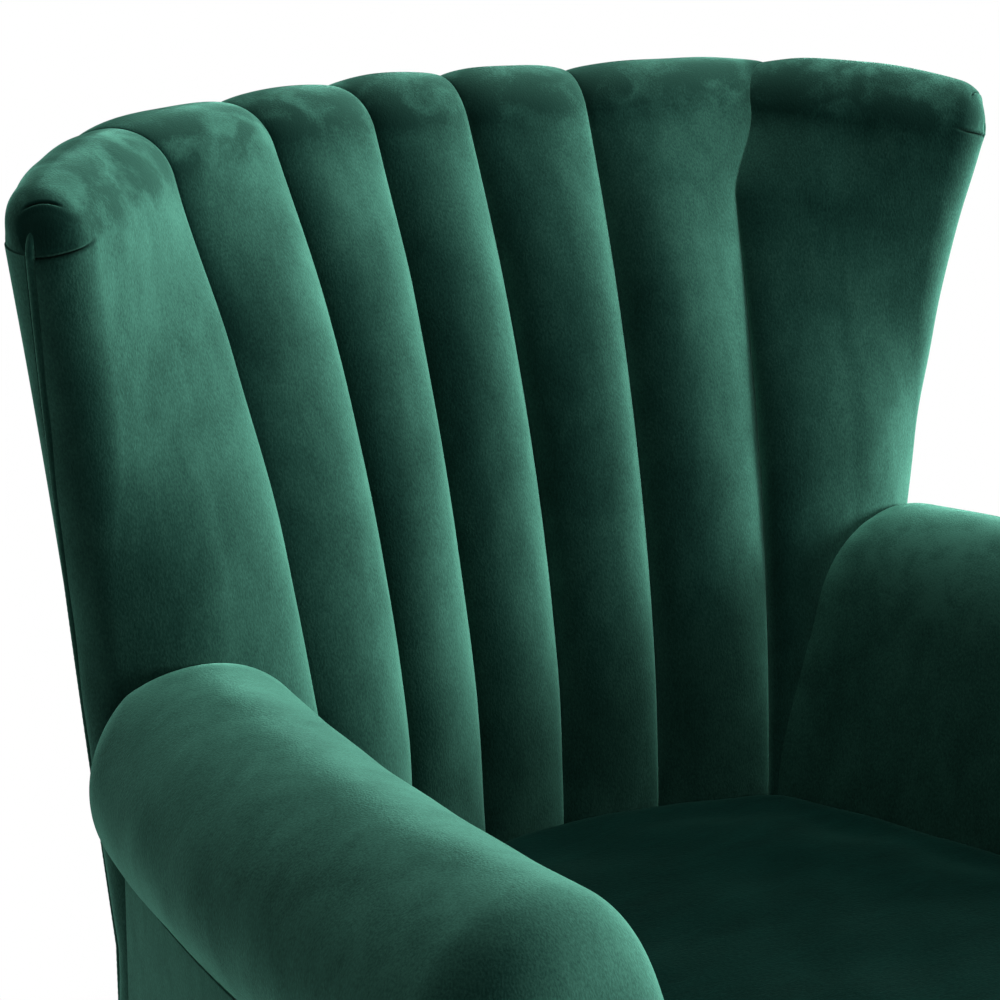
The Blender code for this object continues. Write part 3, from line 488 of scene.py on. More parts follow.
@dataclass(frozen=True)
class Velvet:
    """Cut-pile velvet: fine pile and nap, painted shade on marked parts, and a sheen at its edges that is
    partly painted into the colour.
    """

    name: str = "green_velvet"
    shade: Rgb = (0.0034, 0.0185, 0.0140)
    pile: Rgb = (0.0064, 0.0304, 0.0228)
    light: Rgb = (0.0122, 0.0467, 0.0348)
    sheen: Rgb = (0.30, 0.86, 0.66)
    sheen_weight: float = 0.6
    sheen_roughness: float = 0.30
    roughness: float = 0.92
    gloss: float = 0.02
    # Painted sheen at a slant: its colour, the most that shows of it and how late it comes in
    tips: Rgb = (0.215, 0.680, 0.503)
    slant_share: float = 0.56
    slant_power: float = 1.25
    # Repeats per metre of the pile, the nap, the brushed patches and the patches of the painted top shade
    scales: tuple[float, ...] = (900.0, 60.0, 9.0, 42.0)
    streak: tuple[float, float, float] = (1.0, 1.0, 0.55)
    nap_twist: float = 0.4
    patch_twist: float = 0.8
    # Weights in the tone of the pile, the nap, the brushed patches, the painted top shade and its patches
    weights: tuple[float, ...] = (0.42, 0.28, 0.30, -0.58, 0.84)
    # Tones at which the shade, the pile and the light colour are reached
    tone_stops: tuple[float, ...] = (0.35, 0.50, 0.65)
    # Tones at which the painted sheen is dimmest and full, and what is left of it where it is dim
    slant_stops: tuple[float, float] = (0.29, 0.65)
    slant_dim: float = 0.36
    # How dark the painted shade in creases is, as a share of the shade colour
    painted_crease_dim: float = 0.12
    # Strength and depth of the relief of the nap and of the pile
    nap_relief: tuple[float, float] = (0.10, 0.004)
    pile_relief: tuple[float, float] = (0.32, 0.0011)

    def make(self) -> bpy.types.Material:
        """Builds the velvet: noise of four sizes sets its tone, and a painted sheen shows at a slant.

        Returns:
            The material, with painted shade in patches where the piece's top-shade attribute is high and
            painted light where it is below zero, and a dark painted crease shade where its crease-shade
            attribute is.
        """
        s = Shader(self.name)
        pile_scale, nap_scale, brushed_scale, patch_scale = self.scales
        pile = s.noise(pile_scale, detail=2.0, stretch=self.streak)
        nap = s.noise(nap_scale, detail=3.0, stretch=self.streak, twist=self.nap_twist)
        brushed_and_painted_shade = s.noise(brushed_scale, detail=2.0, twist=self.patch_twist)
        # Painted shade on the tops of the back and wings, in patches; where the attribute is below zero it is
        # painted light
        painted_top_shade = s.marked("nap")
        painted_shade_patches = s.product(painted_top_shade, s.noise(patch_scale, detail=2.0, twist=self.patch_twist))
        tone = s.blend(tuple(zip((pile, nap, brushed_and_painted_shade, painted_top_shade, painted_shade_patches), self.weights)))
        colour = s.ramp(tone, tuple(zip(self.tone_stops, (self.shade, self.pile, self.light))))
        # Painted sheen: a bright colour that the surface takes where it is seen at a slant
        dim_slant_colour = tuple(self.slant_dim * c for c in self.tips)
        tips = s.ramp(tone, tuple(zip(self.slant_stops, (dim_slant_colour, self.tips))))
        slanted = s.slant(colour, tips, self.slant_share, self.slant_power)
        # Painted shade in creases: the colour goes to a dark shade where the fold attribute is high
        s.paint(s.mixed(s.marked("fold_shade"), slanted, tuple(self.painted_crease_dim * c for c in self.shade)))
        s.fixed(Roughness=self.roughness, Specular_IOR_Level=self.gloss, Sheen_Weight=self.sheen_weight,
                Sheen_Roughness=self.sheen_roughness, Sheen_Tint=(*self.sheen, 1.0))
        s.relief(((nap, *self.nap_relief), (pile, *self.pile_relief)))
        return s.material


@dataclass(frozen=True)
class Wood:
    """Timber with grain drawn out along one axis."""

    name: str
    dark: Rgb
    pale: Rgb
    stretch: tuple[float, float, float] = (1.0, 1.0, 0.06)
    roughness: float = 0.45
    coat: float = 0.0
    coat_roughness: float = 0.25
    grain_scale: float = 90.0
    grain_twist: float = 0.6
    grain_weight: float = 0.75
    pore_scale: float = 700.0
    pore_relief: tuple[float, float] = (0.15, 0.0006)
    tone_stops: tuple[float, float] = (0.36, 0.64)

    def make(self) -> bpy.types.Material:
        """Builds the timber: long grain, fine pores and a little relief along the grain.

        Returns:
            The material.
        """
        s = Shader(self.name)
        grain = s.noise(self.grain_scale, detail=4.0, stretch=self.stretch, twist=self.grain_twist)
        pores = s.noise(self.pore_scale, detail=2.0, stretch=self.stretch)
        tone = s.blend(((grain, self.grain_weight), (pores, 1 - self.grain_weight)))
        s.paint(s.ramp(tone, tuple(zip(self.tone_stops, (self.dark, self.pale)))))
        s.fixed(Roughness=self.roughness, Coat_Weight=self.coat, Coat_Roughness=self.coat_roughness)
        s.relief(((pores, *self.pore_relief),))
        return s.material


@dataclass(frozen=True)
class Cloth:
    """Plain woven or felted cloth."""

    name: str
    dark: Rgb
    pale: Rgb
    scale: float = 420.0
    thread: float = 0.12
    mottle_scale: float = 30.0
    # Weights of the warp, the weft and the mottle
    weights: tuple[float, ...] = (0.4, 0.4, 0.2)
    tone_stops: tuple[float, float] = (0.35, 0.65)
    roughness: float = 0.92
    gloss: float = 0.15
    relief: tuple[float, float] = (0.35, 0.0006)

    def make(self) -> bpy.types.Material:
        """Builds the cloth: two crossed thread patterns with a loose mottle over them.

        Returns:
            The material.
        """
        s = Shader(self.name)
        warp = s.noise(self.scale, detail=1.0, stretch=(1.0, self.thread, self.thread))
        weft = s.noise(self.scale, detail=1.0, stretch=(self.thread, 1.0, 1.0))
        mottle = s.noise(self.mottle_scale, detail=3.0)
        threads = s.blend(tuple(zip((warp, weft, mottle), self.weights)))
        s.paint(s.ramp(threads, tuple(zip(self.tone_stops, (self.dark, self.pale)))))
        s.fixed(Roughness=self.roughness, Specular_IOR_Level=self.gloss)
        s.relief(((threads, *self.relief),))
        return s.material


@dataclass(frozen=True)
class Hard:
    """Wire, bolts and glides: a plain hard finish with fine scuffing."""

    name: str
    dark: Rgb
    pale: Rgb
    metallic: float = 0.0
    roughness: float = 0.4
    # How far scuffing takes the roughness down and up
    smoother: float = 0.08
    rougher: float = 0.12
    scuff_scale: float = 260.0
    scuff_stretch: tuple[float, float, float] = (1.0, 1.0, 0.3)
    scuff_relief: tuple[float, float] = (0.08, 0.0004)
    tone_stops: tuple[float, float] = (0.35, 0.65)

    def make(self) -> bpy.types.Material:
        """Builds the finish: mottled tone, with scuffs in the roughness and the relief.

        Returns:
            The material.
        """
        s = Shader(self.name)
        scuff = s.noise(self.scuff_scale, detail=3.0, stretch=self.scuff_stretch)
        s.paint(s.ramp(scuff, tuple(zip(self.tone_stops, (self.dark, self.pale)))))
        rough = s.node("ShaderNodeMapRange")
        rough.inputs["To Min"].default_value = self.roughness - self.smoother
        rough.inputs["To Max"].default_value = self.roughness + self.rougher
        s.link(scuff, rough.inputs["Value"])
        s.link(rough.outputs["Result"], s.surface.inputs["Roughness"])
        s.fixed(Metallic=self.metallic)
        s.relief(((scuff, *self.scuff_relief),))
        return s.material


class Finishes:
    """Every finish of the chair, made once."""

    def __init__(self) -> None:
        """Makes the materials."""
        self.velvet = Velvet().make()
        # A shaded copy of the velvet for the seat: painted shade that deepens at a slant, and little sheen
        self.seat_velvet = Velvet(
            name="seat_velvet", sheen_weight=0.08, tips=(0.0022, 0.0185, 0.0142), slant_share=1.75,
            slant_power=1.0, streak=(0.35, 1.0, 1.0)).make()
        self.leg = Wood("dark_stained_wood", (0.022, 0.009, 0.005), (0.068, 0.029, 0.015), coat=0.35).make()
        self.timber = Wood("frame_timber", (0.36, 0.23, 0.12), (0.58, 0.42, 0.25), roughness=0.75).make()
        self.wire = Hard("spring_wire", (0.20, 0.20, 0.21), (0.36, 0.36, 0.37), metallic=1.0).make()
        self.steel = Hard("bolt_steel", (0.45, 0.45, 0.46), (0.60, 0.60, 0.61), metallic=1.0).make()
        self.nylon = Hard("glide_nylon", (0.018, 0.018, 0.018), (0.035, 0.035, 0.035), roughness=0.5).make()
        self.webbing = Cloth("webbing", (0.018, 0.018, 0.02), (0.055, 0.055, 0.06)).make()
        self.felt = Cloth("felt", (0.22, 0.21, 0.20), (0.40, 0.39, 0.36), scale=260.0).make()
        self.dust_cloth = Cloth("dust_cloth", (0.012, 0.012, 0.013), (0.03, 0.03, 0.032)).make()


def dress(piece: Piece, material: bpy.types.Material, nodes: Sequence[str]) -> Piece:
    """Finishes a new piece and ties it to the frame.

    Args:
        piece: The new piece.
        material: Its finish.
        nodes: CAD nodes that it stands for.

    Returns:
        The piece.
    """
    piece.data.materials.clear()
    piece.data.materials.append(material)
    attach(piece, "root")
    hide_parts(*nodes)
    log.info("%s stands for %s", piece.name, ", ".join(nodes))
    return piece


@dataclass(frozen=True)
class Stuffing:
    """Fills a sewn skin by cloth simulation: pressure swells it while its lower part is held."""

    voxel: float = 0.006
    pressure: float = 4.0
    frames: int = 20
    cap: float = 0.007
    held: float = 0.014
    settle: int = 40
    # How firmly a point is held goes in this many steps
    grips: int = 20

    def swell(self, piece: Piece, hold_z: float) -> Piece:
        """Swells a piece above a height and leaves the result in its mesh.

        The skin is remeshed evenly, blown up by pressure with no weight on it, and each point's way is
        cut to the cap: way times the smaller of 1 and cap over way.  The ways then settle: each becomes
        the mean of its neighbours' ways, some tens of times over, times how free the point is.  Points
        are held below the height and let go over a short rise above it.

        Args:
            piece: A closed piece, a little smaller than it should end up.
            hold_z: Height up to which it is held.

        Returns:
            The piece.
        """
        scene = bpy.context.scene
        even = piece.modifiers.new("even", "REMESH")
        even.mode, even.voxel_size = "VOXEL", self.voxel
        mesh = bpy.data.meshes.new_from_object(piece.evaluated_get(bpy.context.evaluated_depsgraph_get()))
        piece.modifiers.clear()
        piece.data = mesh
        mesh.shade_smooth()
        start = self.read(mesh.vertices, "co", 3, np.float32).astype(float)
        grip = 1 - ease((start[:, 2] - hold_z) / self.held)
        group = piece.vertex_groups.new(name="held")
        grade = np.round(grip * self.grips)
        for step in range(self.grips + 1):
            group.add(np.flatnonzero(grade == step).tolist(), step / self.grips, "REPLACE")
        cloth = piece.modifiers.new("cloth", "CLOTH")
        cloth.settings.vertex_group_mass = "held"
        cloth.settings.use_pressure = True
        cloth.settings.uniform_pressure_force = self.pressure
        cloth.settings.effector_weights.gravity = 0.0
        for number in range(1, self.frames + 1):
            scene.frame_set(number)
        blown = piece.evaluated_get(bpy.context.evaluated_depsgraph_get()).data
        way = self.read(blown.vertices, "co", 3, np.float32) - start
        length = np.linalg.norm(way, axis=-1, keepdims=True)
        way = way * np.minimum(1.0, self.cap / np.maximum(length, TINY))
        ends = self.read(mesh.edges, "vertices", 2, np.int32).T
        ends = np.concatenate([ends, ends[::-1]], axis=1)
        count = np.bincount(ends[0], minlength=len(start))[:, None]
        for _ in range(self.settle):
            total = [np.bincount(ends[0], way[ends[1], k], len(start)) for k in range(3)]
            way = np.stack(total, axis=-1) / count * (1 - grip)[:, None]
        piece.modifiers.clear()
        piece.vertex_groups.clear()
        scene.frame_set(1)
        mesh.vertices.foreach_set("co", (start + way).astype(np.float32).ravel())
        mesh.update()
        finer = piece.modifiers.new("finer", "SUBSURF")
        finer.levels = finer.render_levels = 1
        log.info("%s swelled by up to %.1f mm", piece.name, 1000 * float(np.linalg.norm(way, axis=-1).max()))
        return piece

    @staticmethod
    def read(items: bpy.types.bpy_prop_collection, key: str, width: int, kind: type) -> Array:
        """Values of a mesh's points or edges.

        Args:
            items: The points or edges.
            key: The value's name.
            width: How many numbers each item has.
            kind: The numbers' type.

        Returns:
            One row for each item.
        """
        flat = np.empty(width * len(items), dtype=kind)
        items.foreach_get(key, flat)
        return flat.reshape(-1, width)


@dataclass(frozen=True)
class Shell:
    """The outside shell: lines in plan at the body's foot and at its top, straight in between."""

    foot: float = 0.198
    top: float = 0.839
    rise: float = 0.0125
    thickness: float = 0.006
    centre: Line = ((0.045, 0.256), (0.052, 0.360))
    inner: Line = ((0.130, 0.248), (0.142, 0.341))
    corner: Line = ((0.262, 0.222), (0.267, 0.275))

    def at(self, line: Line, z: Array) -> Array:
        """Plan position of a line at heights."""
        share = (z - self.foot) / (self.top - self.foot)
        return mix(np.array(line[0]), np.array(line[1]), share[..., None])

    def edge(self, x: Array) -> Array:
        """Height of the top edge: level across the middle, then rising to the corners."""
        inner, corner = self.inner[1][0], self.corner[1][0]
        return self.top + self.rise * np.clip((np.abs(x) - inner) / (corner - inner), 0.0, 1.0)


@dataclass(frozen=True)
class BackLayout:
    """The lines that the back is laid out on, for the sitter's left half.

    Each line is given in plan at the seat line, at mid height and at the shoulder, and is a parabola
    through those stations.  Seams dive into the padding along their own plan directions.
    """

    seat_z: float = 0.440
    back_rise: float = 0.460
    pad_foot: float = 0.400
    shoulder_z: float = 0.868
    outer_shoulder_z: float = 0.865
    wing_top_z: float = 0.849
    stations: tuple[float, ...] = (0.0, 0.4375, 0.875)
    centre: Line = ((0.031, 0.184), (0.035, 0.217), (0.036, 0.279))
    inner: Line = ((0.097, 0.169), (0.103, 0.198), (0.117, 0.263))
    outer: Line = ((0.166, 0.140), (0.1855, 0.1745), (0.2050, 0.2245))
    outer_flare: float = 0.0060
    flare_from: float = 0.770
    wing: Line = ((0.300, 0.172), (0.319, 0.175), (0.350, 0.151))
    centre_dive: Line = ((0.08, 1.0), (0.22, 1.0))
    inner_dive: Line = ((0.22, 1.0), (0.31, 1.0))
    outer_dive: Line = ((0.45, 0.9), (0.79, 0.61))
    seam_depth: float = 0.026
    top_roll: float = 0.036
    tip_roll: float = 0.002
    top_turn: float = math.radians(175)
    wing_r: float = 0.026
    # How far above the seat line a line is followed, as a share of the back's rise
    followed: float = 1.2
    # Half the step over which a line's slope is taken
    slope_step: float = 0.002
    # Where the painted shade over the top starts before the top roll, and the run over which it comes in
    nap_before: float = 0.016
    nap_run: float = 0.028
    shell: Shell = Shell()

    @classmethod
    def far_half(cls) -> "BackLayout":
        """The half far from the camera, where the outer seam and the wing edge stand a little differently.

        Returns:
            The layout.
        """
        return cls(
            outer=((0.166, 0.140), (0.1834, 0.1738), (0.2052, 0.2337)), outer_flare=0.0226, flare_from=0.8116,
            outer_dive=((0.45, 0.9), (0.88, 0.48)), wing=((0.300, 0.172), (0.312, 0.175), (0.350, 0.151)))

    def plan(self, line: Line, z: Array) -> Array:
        """Plan position of a line at heights: a parabola through its three stations.

        The outer seam also bends outward just below the shoulder.

        Args:
            line: The line.
            z: Heights.

        Returns:
            Plan positions.
        """
        h = np.clip((z - self.seat_z) / self.back_rise, 0.0, self.followed)
        fit = [np.polyfit(self.stations, [p[k] for p in line], 2) for k in (0, 1)]
        flare = ease((z - self.flare_from) / (self.outer_shoulder_z - self.flare_from))
        out = self.outer_flare * flare if line is self.outer else 0.0
        return np.stack([np.polyval(fit[0], h) + out, np.polyval(fit[1], h)], axis=-1)

    def points(self, line: Line, z: Array) -> Array:
        """Points of a line at heights."""
        return np.concatenate([self.plan(line, z), z[..., None]], axis=-1)

    def carried(self, line: Line, dive: Line | None, roll_z: float, roll_r: float, fronts: Array,
                turns: Array) -> tuple[Array, Array]:
        """A line carried up the front and over the top roll.

        The front runs from the pad's foot to where the roll starts; the roll is an arc in the plane of
        the line's rise and its dive.

        Args:
            line: The line.
            dive: Its dive directions low and high, or None for square to the wing.
            roll_z: Height at which the roll starts.
            roll_r: Radius of the roll.
            fronts: Shares of the front's height.
            turns: Angles about the roll.

        Returns:
            Points and outward normals at the stations.
        """
        z = self.pad_foot + fronts * (roll_z - self.pad_foot)
        front = self.points(line, z)
        up = unit(self.points(line, z + self.slope_step) - self.points(line, z - self.slope_step))
        high = ease((z - self.seat_z) / (roll_z - self.seat_z))[:, None]
        if dive is None:
            chord = self.plan(self.wing, z) - self.plan(self.outer, z)
            back = np.stack([-chord[:, 1], chord[:, 0]], axis=-1)
        else:
            back = mix(np.array(dive[0]), np.array(dive[1]), high)
        back = np.concatenate([back, np.zeros((len(z), 1))], axis=-1)
        back = unit(back - np.sum(back * up, axis=-1, keepdims=True) * up)
        s, c = np.sin(turns)[:, None], np.cos(turns)[:, None]
        over = front[-1] + roll_r * (s * up[-1] + (1 - c) * back[-1])
        return np.concatenate([front, over]), np.concatenate([-back, s * up[-1] - c * back[-1]])

    def brushed_and_painted_shade(self, fronts: Array, turns: Array) -> Array:
        """How much painted shade each row gets: none on the front, and full over the top."""
        run = np.concatenate([(fronts - 1) * (self.shoulder_z - self.pad_foot), turns * self.top_roll])
        return ease((run + self.nap_before) / self.nap_run)

    def seam_lines(self, fronts: Array, turns: Array) -> list[tuple[Array, Array]]:
        """The seams over front and top.

        Args:
            fronts: Shares of the front's height.
            turns: Angles about the roll.

        Returns:
            Points and outward normals of the centre, inner and outer seams.
        """
        lines = (
            (self.centre, self.centre_dive, self.shoulder_z),
            (self.inner, self.inner_dive, self.shoulder_z),
            (self.outer, self.outer_dive, self.outer_shoulder_z),
        )
        return [self.carried(q, d, z, self.top_roll, fronts, turns) for q, d, z in lines]

    def outer_seam(self, fronts: Array, turns: Array) -> tuple[Array, Array]:
        """The outer seam over front and top."""
        return self.seam_lines(fronts, turns)[-1]

    def wing_line(self, fronts: Array, turns: Array) -> tuple[Array, Array]:
        """The wing edge over front and tip."""
        return self.carried(self.wing, None, self.wing_top_z, self.tip_roll, fronts, turns)


@dataclass
class ChannelBack:
    """Five padded channels that fan out from the seat and roll over the top of the back."""

    layouts: dict[Side, BackLayout]
    count: int = 5
    crown_foot: float = 0.0045
    crown: float = 0.0205
    crown_shoulder: float = 0.0125
    crown_top: float = 0.0062
    # Shares of the front's height at which the crown is full and starts to flatten, and where it is flat
    full_at: float = 0.30
    flatter_from: float = 0.80
    flat_turn: float = math.radians(80)
    fullness: float = 2.1
    shoulder: float = 0.58
    uneven: float = 0.0008
    fill: float = 0.8
    rows_front: int = 130
    rows_turn: int = 44
    columns: int = 61

    def crowns(self, fronts: Array, turns: Array) -> Array:
        """Height of the crown at each row: low at the seat, full up the front, flatter over the top.

        Args:
            fronts: Shares of the front's height.
            turns: Angles about the roll.

        Returns:
            Heights.
        """
        up = mix(self.crown_foot, self.crown, ease(fronts / self.full_at))
        up = mix(up, self.crown_shoulder, ease((fronts - self.flatter_from) / (1 - self.flatter_from)))
        over = mix(self.crown_shoulder, self.crown_top, ease(turns / self.flat_turn))
        return np.concatenate([up, over])

    def channel(self, number: int, left: tuple[Array, Array], right: tuple[Array, Array],
                crowns: Array, nap: Array) -> Piece:
        """One channel between two seams.

        Across the channel the crown is (1 - |t| to a power) to a power with t from -1 to 1, so that it
        is full in the middle and drops steeply into both seams.

        Args:
            number: The channel's number from the sitter's right.
            left: Points and normals of one seam.
            right: Points and normals of the other.
            crowns: Height of the crown at each row.
            nap: How much painted shade each row gets.

        Returns:
            The piece.
        """
        p = 0.5 - 0.5 * np.cos(np.linspace(0.0, math.pi, self.columns))
        full = (1 - np.abs(2 * p - 1) ** self.fullness) ** self.shoulder
        (pl, nl), (pr, nr) = left, right
        across = unit(pr - pl)
        pl, pr = pl + across * GAP / 2, pr - across * GAP / 2
        t = p[None, :, None]
        normal = unit(mix(nl[:, None], nr[:, None], t))
        outer = mix(pl[:, None], pr[:, None], t) + normal * (crowns[:, None] * full[None, :])[..., None]
        outer += normal * (lumps(outer, self.uneven) * full[None, :])[..., None]
        depth = self.layouts[Side.LEFT].seam_depth
        inner = mix((pl - nl * depth)[:, None], (pr - nr * depth)[:, None], t)
        # Painted shade over the top roll
        marks = {"nap": np.repeat(nap[:, None], self.columns, axis=1)}
        return MeshKit.shell(f"velvet_channel_{number}", outer, inner, marks)

    def build(self, finishes: Finishes) -> list[Piece]:
        """Builds and dresses the channels, from the sitter's right to the left.

        Args:
            finishes: The chair's finishes.

        Returns:
            The pieces.
        """
        fronts = np.linspace(0.0, 1.0, self.rows_front)
        layout = self.layouts[Side.LEFT]
        turns = np.linspace(0.0, layout.top_turn, self.rows_turn + 1)[1:]
        right = self.layouts[Side.RIGHT].seam_lines(fronts, turns)
        seams = [(Side.RIGHT.place(p), Side.RIGHT.place(n)) for p, n in right[::-1]]
        seams += layout.seam_lines(fronts, turns)
        crowns = self.crowns(fronts, turns)
        pieces = []
        for k in range(self.count):
            piece = self.channel(k + 1, seams[k], seams[k + 1], crowns, layout.brushed_and_painted_shade(fronts, turns))
            pieces.append(dress(piece, finishes.velvet, [f"back_channel_{k + 1}"]))
        return pieces


@dataclass
class Wing:
    """One wing: the padded front, the welt along its edge and the outside panel behind it."""

    layout: BackLayout
    side: Side
    top_fullness: float = 1.3
    crown: float = 0.041
    crown_foot: float = 0.6
    crown_top: float = 0.003
    # Shares of the front's height at which the crown is full and starts to sink
    full_at: float = 0.35
    sinks_from: float = 0.55
    # Share of the width over which the padding rises out of the seam, and the two powers of its rise
    shoulder: float = 0.75
    rise_powers: tuple[float, float] = (2.0, 0.55)
    # Share of the width at which it starts to fall, and the least and the greatest power of the fall
    fall_from: float = 0.25
    fall_powers: tuple[float, float] = (1.6, 4.0)
    # How far past its top the padding joins the edge's round, where the crown is higher by the rise
    join_turn: float = math.radians(28)
    join_rise: float = 0.015
    # How closely columns crowd towards the seam and rows towards the tip's start
    crowding: float = 1.4
    # How soon a row's direction out of the wing is the edge's own
    edge_pull: float = 2.5
    # A drop from the crown to the edge's round that is smaller than this counts as none
    level: float = 1e-5
    # Radius of the hidden face's end, as a share of the edge's round
    hook: float = 0.45
    # Behind the tip the padding thins from this share of the width, over that one, to a share of
    # itself, which comes in between two turns
    thin_from: float = 0.2
    thin_over: float = 0.5
    tip_back: float = 0.5
    tip_thins: tuple[float, float] = (math.radians(85), math.radians(165))
    # Turns between which the groove shuts behind the tip, and by how many half widths
    groove_shuts: tuple[float, float] = (math.radians(60), math.radians(120))
    shut_share: float = 1.6
    # Unevenness of the padding, which comes in over the first of this many parts of the width
    uneven: float = 0.0008
    calm_parts: float = 6.0
    # Tucks at the tip: the low one's length, start and slope, the high one's ring about the welt's end
    # and its drift by the turn, how far the cloth between them is drawn in, and how much painted shade it
    # gets
    tuck_depth: float = 0.0014
    tuck_width: float = 0.0009
    tuck_length: float = 0.040
    tuck_low: float = -0.002
    tuck_slope: float = 0.16
    tuck_ring: float = 0.024
    tuck_drift: float = 0.010
    tuck_drawn: float = 0.0020
    tuck_fade: float = 0.016
    tuck_shade: float = 0.12
    # Turns at which the high tuck starts and ends, and over which each end fades
    high_turns: tuple[float, float] = (math.radians(48), math.radians(100))
    high_fades: tuple[float, float] = (0.25, 0.3)
    # The turn about which the ring drifts, and where the drawn cloth ends and fades out
    ring_turn: float = math.radians(80)
    drawn_end: float = math.radians(115)
    drawn_fade: float = 0.5
    drawn_reach: float = 1.4
    # Distances over which the drawn cloth comes in from the low tuck and from the high one
    drawn_rises: tuple[float, float] = (0.004, 0.006)
    # Least distance from the welt's end at which a turn still counts as a way
    tuck_near: float = 0.004
    groove_low: float = math.radians(-26)
    groove_top: float = math.radians(0)
    groove_half: float = math.radians(7)
    tip_clear: float = 0.0012
    tip_turn: float = math.radians(65)
    welt_r: float = 0.0025
    # How much a stitch draws the welt in, how far apart stitches are, and what the welt's end loses
    stitch_draw: float = 0.05
    stitch_step: float = 0.0085
    welt_taper: float = 0.7
    fill: float = 0.75
    # Rows below and above the share of the front where the tip's rows start, and over the tip
    tip_from: float = 0.88
    rows_front: int = 80
    rows_tip: int = 90
    rows_turn: int = 110
    columns: int = 64
    arc: int = 72

    def groove(self, share: Array) -> Array:
        """Angle of the welt's groove round the edge: straight from low to top."""
        return self.groove_low + (self.groove_top - self.groove_low) * np.clip(share, 0.0, 1.0)

    def crowns(self, fronts: Array, turns: int) -> Array:
        """Height of the padding next to the seam at each row: full low down, and sinking to the top.

        Args:
            fronts: Shares of the front's height.
            turns: Number of rows over the tip.

        Returns:
            Heights.
        """
        up = mix(self.crown_foot * self.crown, self.crown, ease(fronts / self.full_at))
        up = mix(up, self.crown_top, ease((fronts - self.sinks_from) / (1 - self.sinks_from)))
        return np.concatenate([up, np.full(turns, self.crown_top)])

    def section(self, seam: tuple[Array, Array], edge: tuple[Array, Array], crowns: Array, ends: Array,
                columns: int, arc: int, thin: Array | None = None) -> tuple[Array, Array]:
        """Wing front from the outer seam to the groove, with the skeleton that it is padded on.

        Along each row the padding rises steeply out of the seam, swells to its crown and falls by a
        power curve into the circle round the edge, which it follows to the end angle of that row.
        Where the crown is lower than the circle it eases up to the circle's top instead.

        Args:
            seam: Points and normals of the outer seam.
            edge: Points and normals of the wing edge.
            crowns: Height of the padding next to the seam at each row.
            ends: End angle of each row.
            columns: Points across the flat part.
            arc: Points round the edge.
            thin: Share of the padding that is left towards the edge at each row, where it isn't whole.

        Returns:
            Grids of the outer and the hidden face.
        """
        (ps, ns), (pe, ne) = seam, edge
        r = self.layout.wing_r
        span = np.linalg.norm(pe - ps, axis=-1)[:, None]
        across = (pe - ps) / span
        crown = crowns[:, None]
        join = math.pi / 2 - self.join_turn * np.clip((crown - r) / self.join_rise, 0, 1)
        reach = span - r + r * np.cos(join)
        flat = (np.linspace(0.0, 1.0, columns) ** self.crowding)[None, :] * reach
        steep, blunt = self.rise_powers
        rise = (1 - (1 - np.clip(flat / span / self.shoulder, 0, 1)) ** steep) ** blunt
        drop = crown - r * np.sin(join)
        fall = reach - self.fall_from * span
        t = np.clip((flat - self.fall_from * span) / fall, 0, 1)
        power = np.clip(fall / np.tan(join) / np.where(drop > self.level, drop, 1.0), *self.fall_powers)
        eased = 1 - (1 - flat / reach) ** self.top_fullness
        lift = crown * rise - drop * np.where(drop > 0, t ** power, eased)
        turn = join + (ends[:, None] - join) * np.linspace(0, 1, arc)[None, 1:]
        along = np.concatenate([flat, span - r + r * np.cos(turn)], axis=1)
        lift = np.concatenate([lift, r * np.sin(turn)], axis=1)
        normal = unit(mix(ns[:, None], ne[:, None], np.clip(self.edge_pull * along / span, 0, 1)[..., None]))
        if thin is not None:
            out = np.clip((along / span - self.thin_from) / self.thin_over, 0, 1)
            lift = lift * mix(1.0, thin[:, None], out)
        outer = ps[:, None] + across[:, None] * along[..., None] + normal * lift[..., None]
        hook = span[:, 0] - r + self.hook * r * np.cos(ends)
        last = ps + across * hook[:, None] + ne * (self.hook * r * np.sin(ends))[:, None]
        first = ps - ns * self.layout.seam_depth
        step = np.hypot(np.diff(along, axis=1), np.diff(lift, axis=1))
        run = np.concatenate([np.zeros((len(step), 1)), np.cumsum(step, axis=1)], axis=1)
        return outer, mix(first[:, None], last[:, None], (run / run[:, -1:])[..., None])

    def tucks(self, outer: Array, fronts: Array, turns: Array) -> tuple[Array, Array]:
        """Depth of the two tucks that take up the cloth round the tip, and the painted shade along them.

        The low tuck runs from the welt into the face, rising a little.  The high one circles the welt's
        end over the tip.  Each is a bell across its line, and the cloth between them is drawn in.

        Args:
            outer: Grid of the wing's visible face.
            fronts: Shares of the front's height, for the rows of the face.
            turns: Angles about the tip, for the rows after them.

        Returns:
            Depths, and how much painted shade each point gets in and between the tucks.
        """
        step = np.linalg.norm(np.diff(outer, axis=1), axis=-1)[:, ::-1]
        inward = np.concatenate([np.cumsum(step, axis=1)[:, ::-1], np.zeros((len(outer), 1))], axis=1)
        below = (fronts - 1) * (self.layout.wing_top_z - self.layout.pad_foot)
        turn = np.concatenate([np.zeros(len(fronts)), turns])[:, None]
        arm = np.clip(inward, self.tuck_near, self.layout.wing_r)
        height = np.concatenate([np.broadcast_to(below[:, None], (len(fronts), outer.shape[1])),
                                 turns[:, None] * arm[len(fronts):]])
        low = height - self.tuck_low - self.tuck_slope * inward
        high = inward - self.tuck_ring - self.tuck_drift * (self.ring_turn - turn)
        reach = ease((self.tuck_length - inward) / self.tuck_fade)
        (first, last), (fade_in, fade_out) = self.high_turns, self.high_fades
        over = ease((turn - first) / fade_in) * ease((last - turn) / fade_out)
        bells = np.exp(-(low / self.tuck_width) ** 2) * reach + np.exp(-(high / self.tuck_width) ** 2) * over
        near = ease(self.drawn_reach - inward / self.tuck_ring)
        near = near * ease((self.drawn_end - turn) / self.drawn_fade)
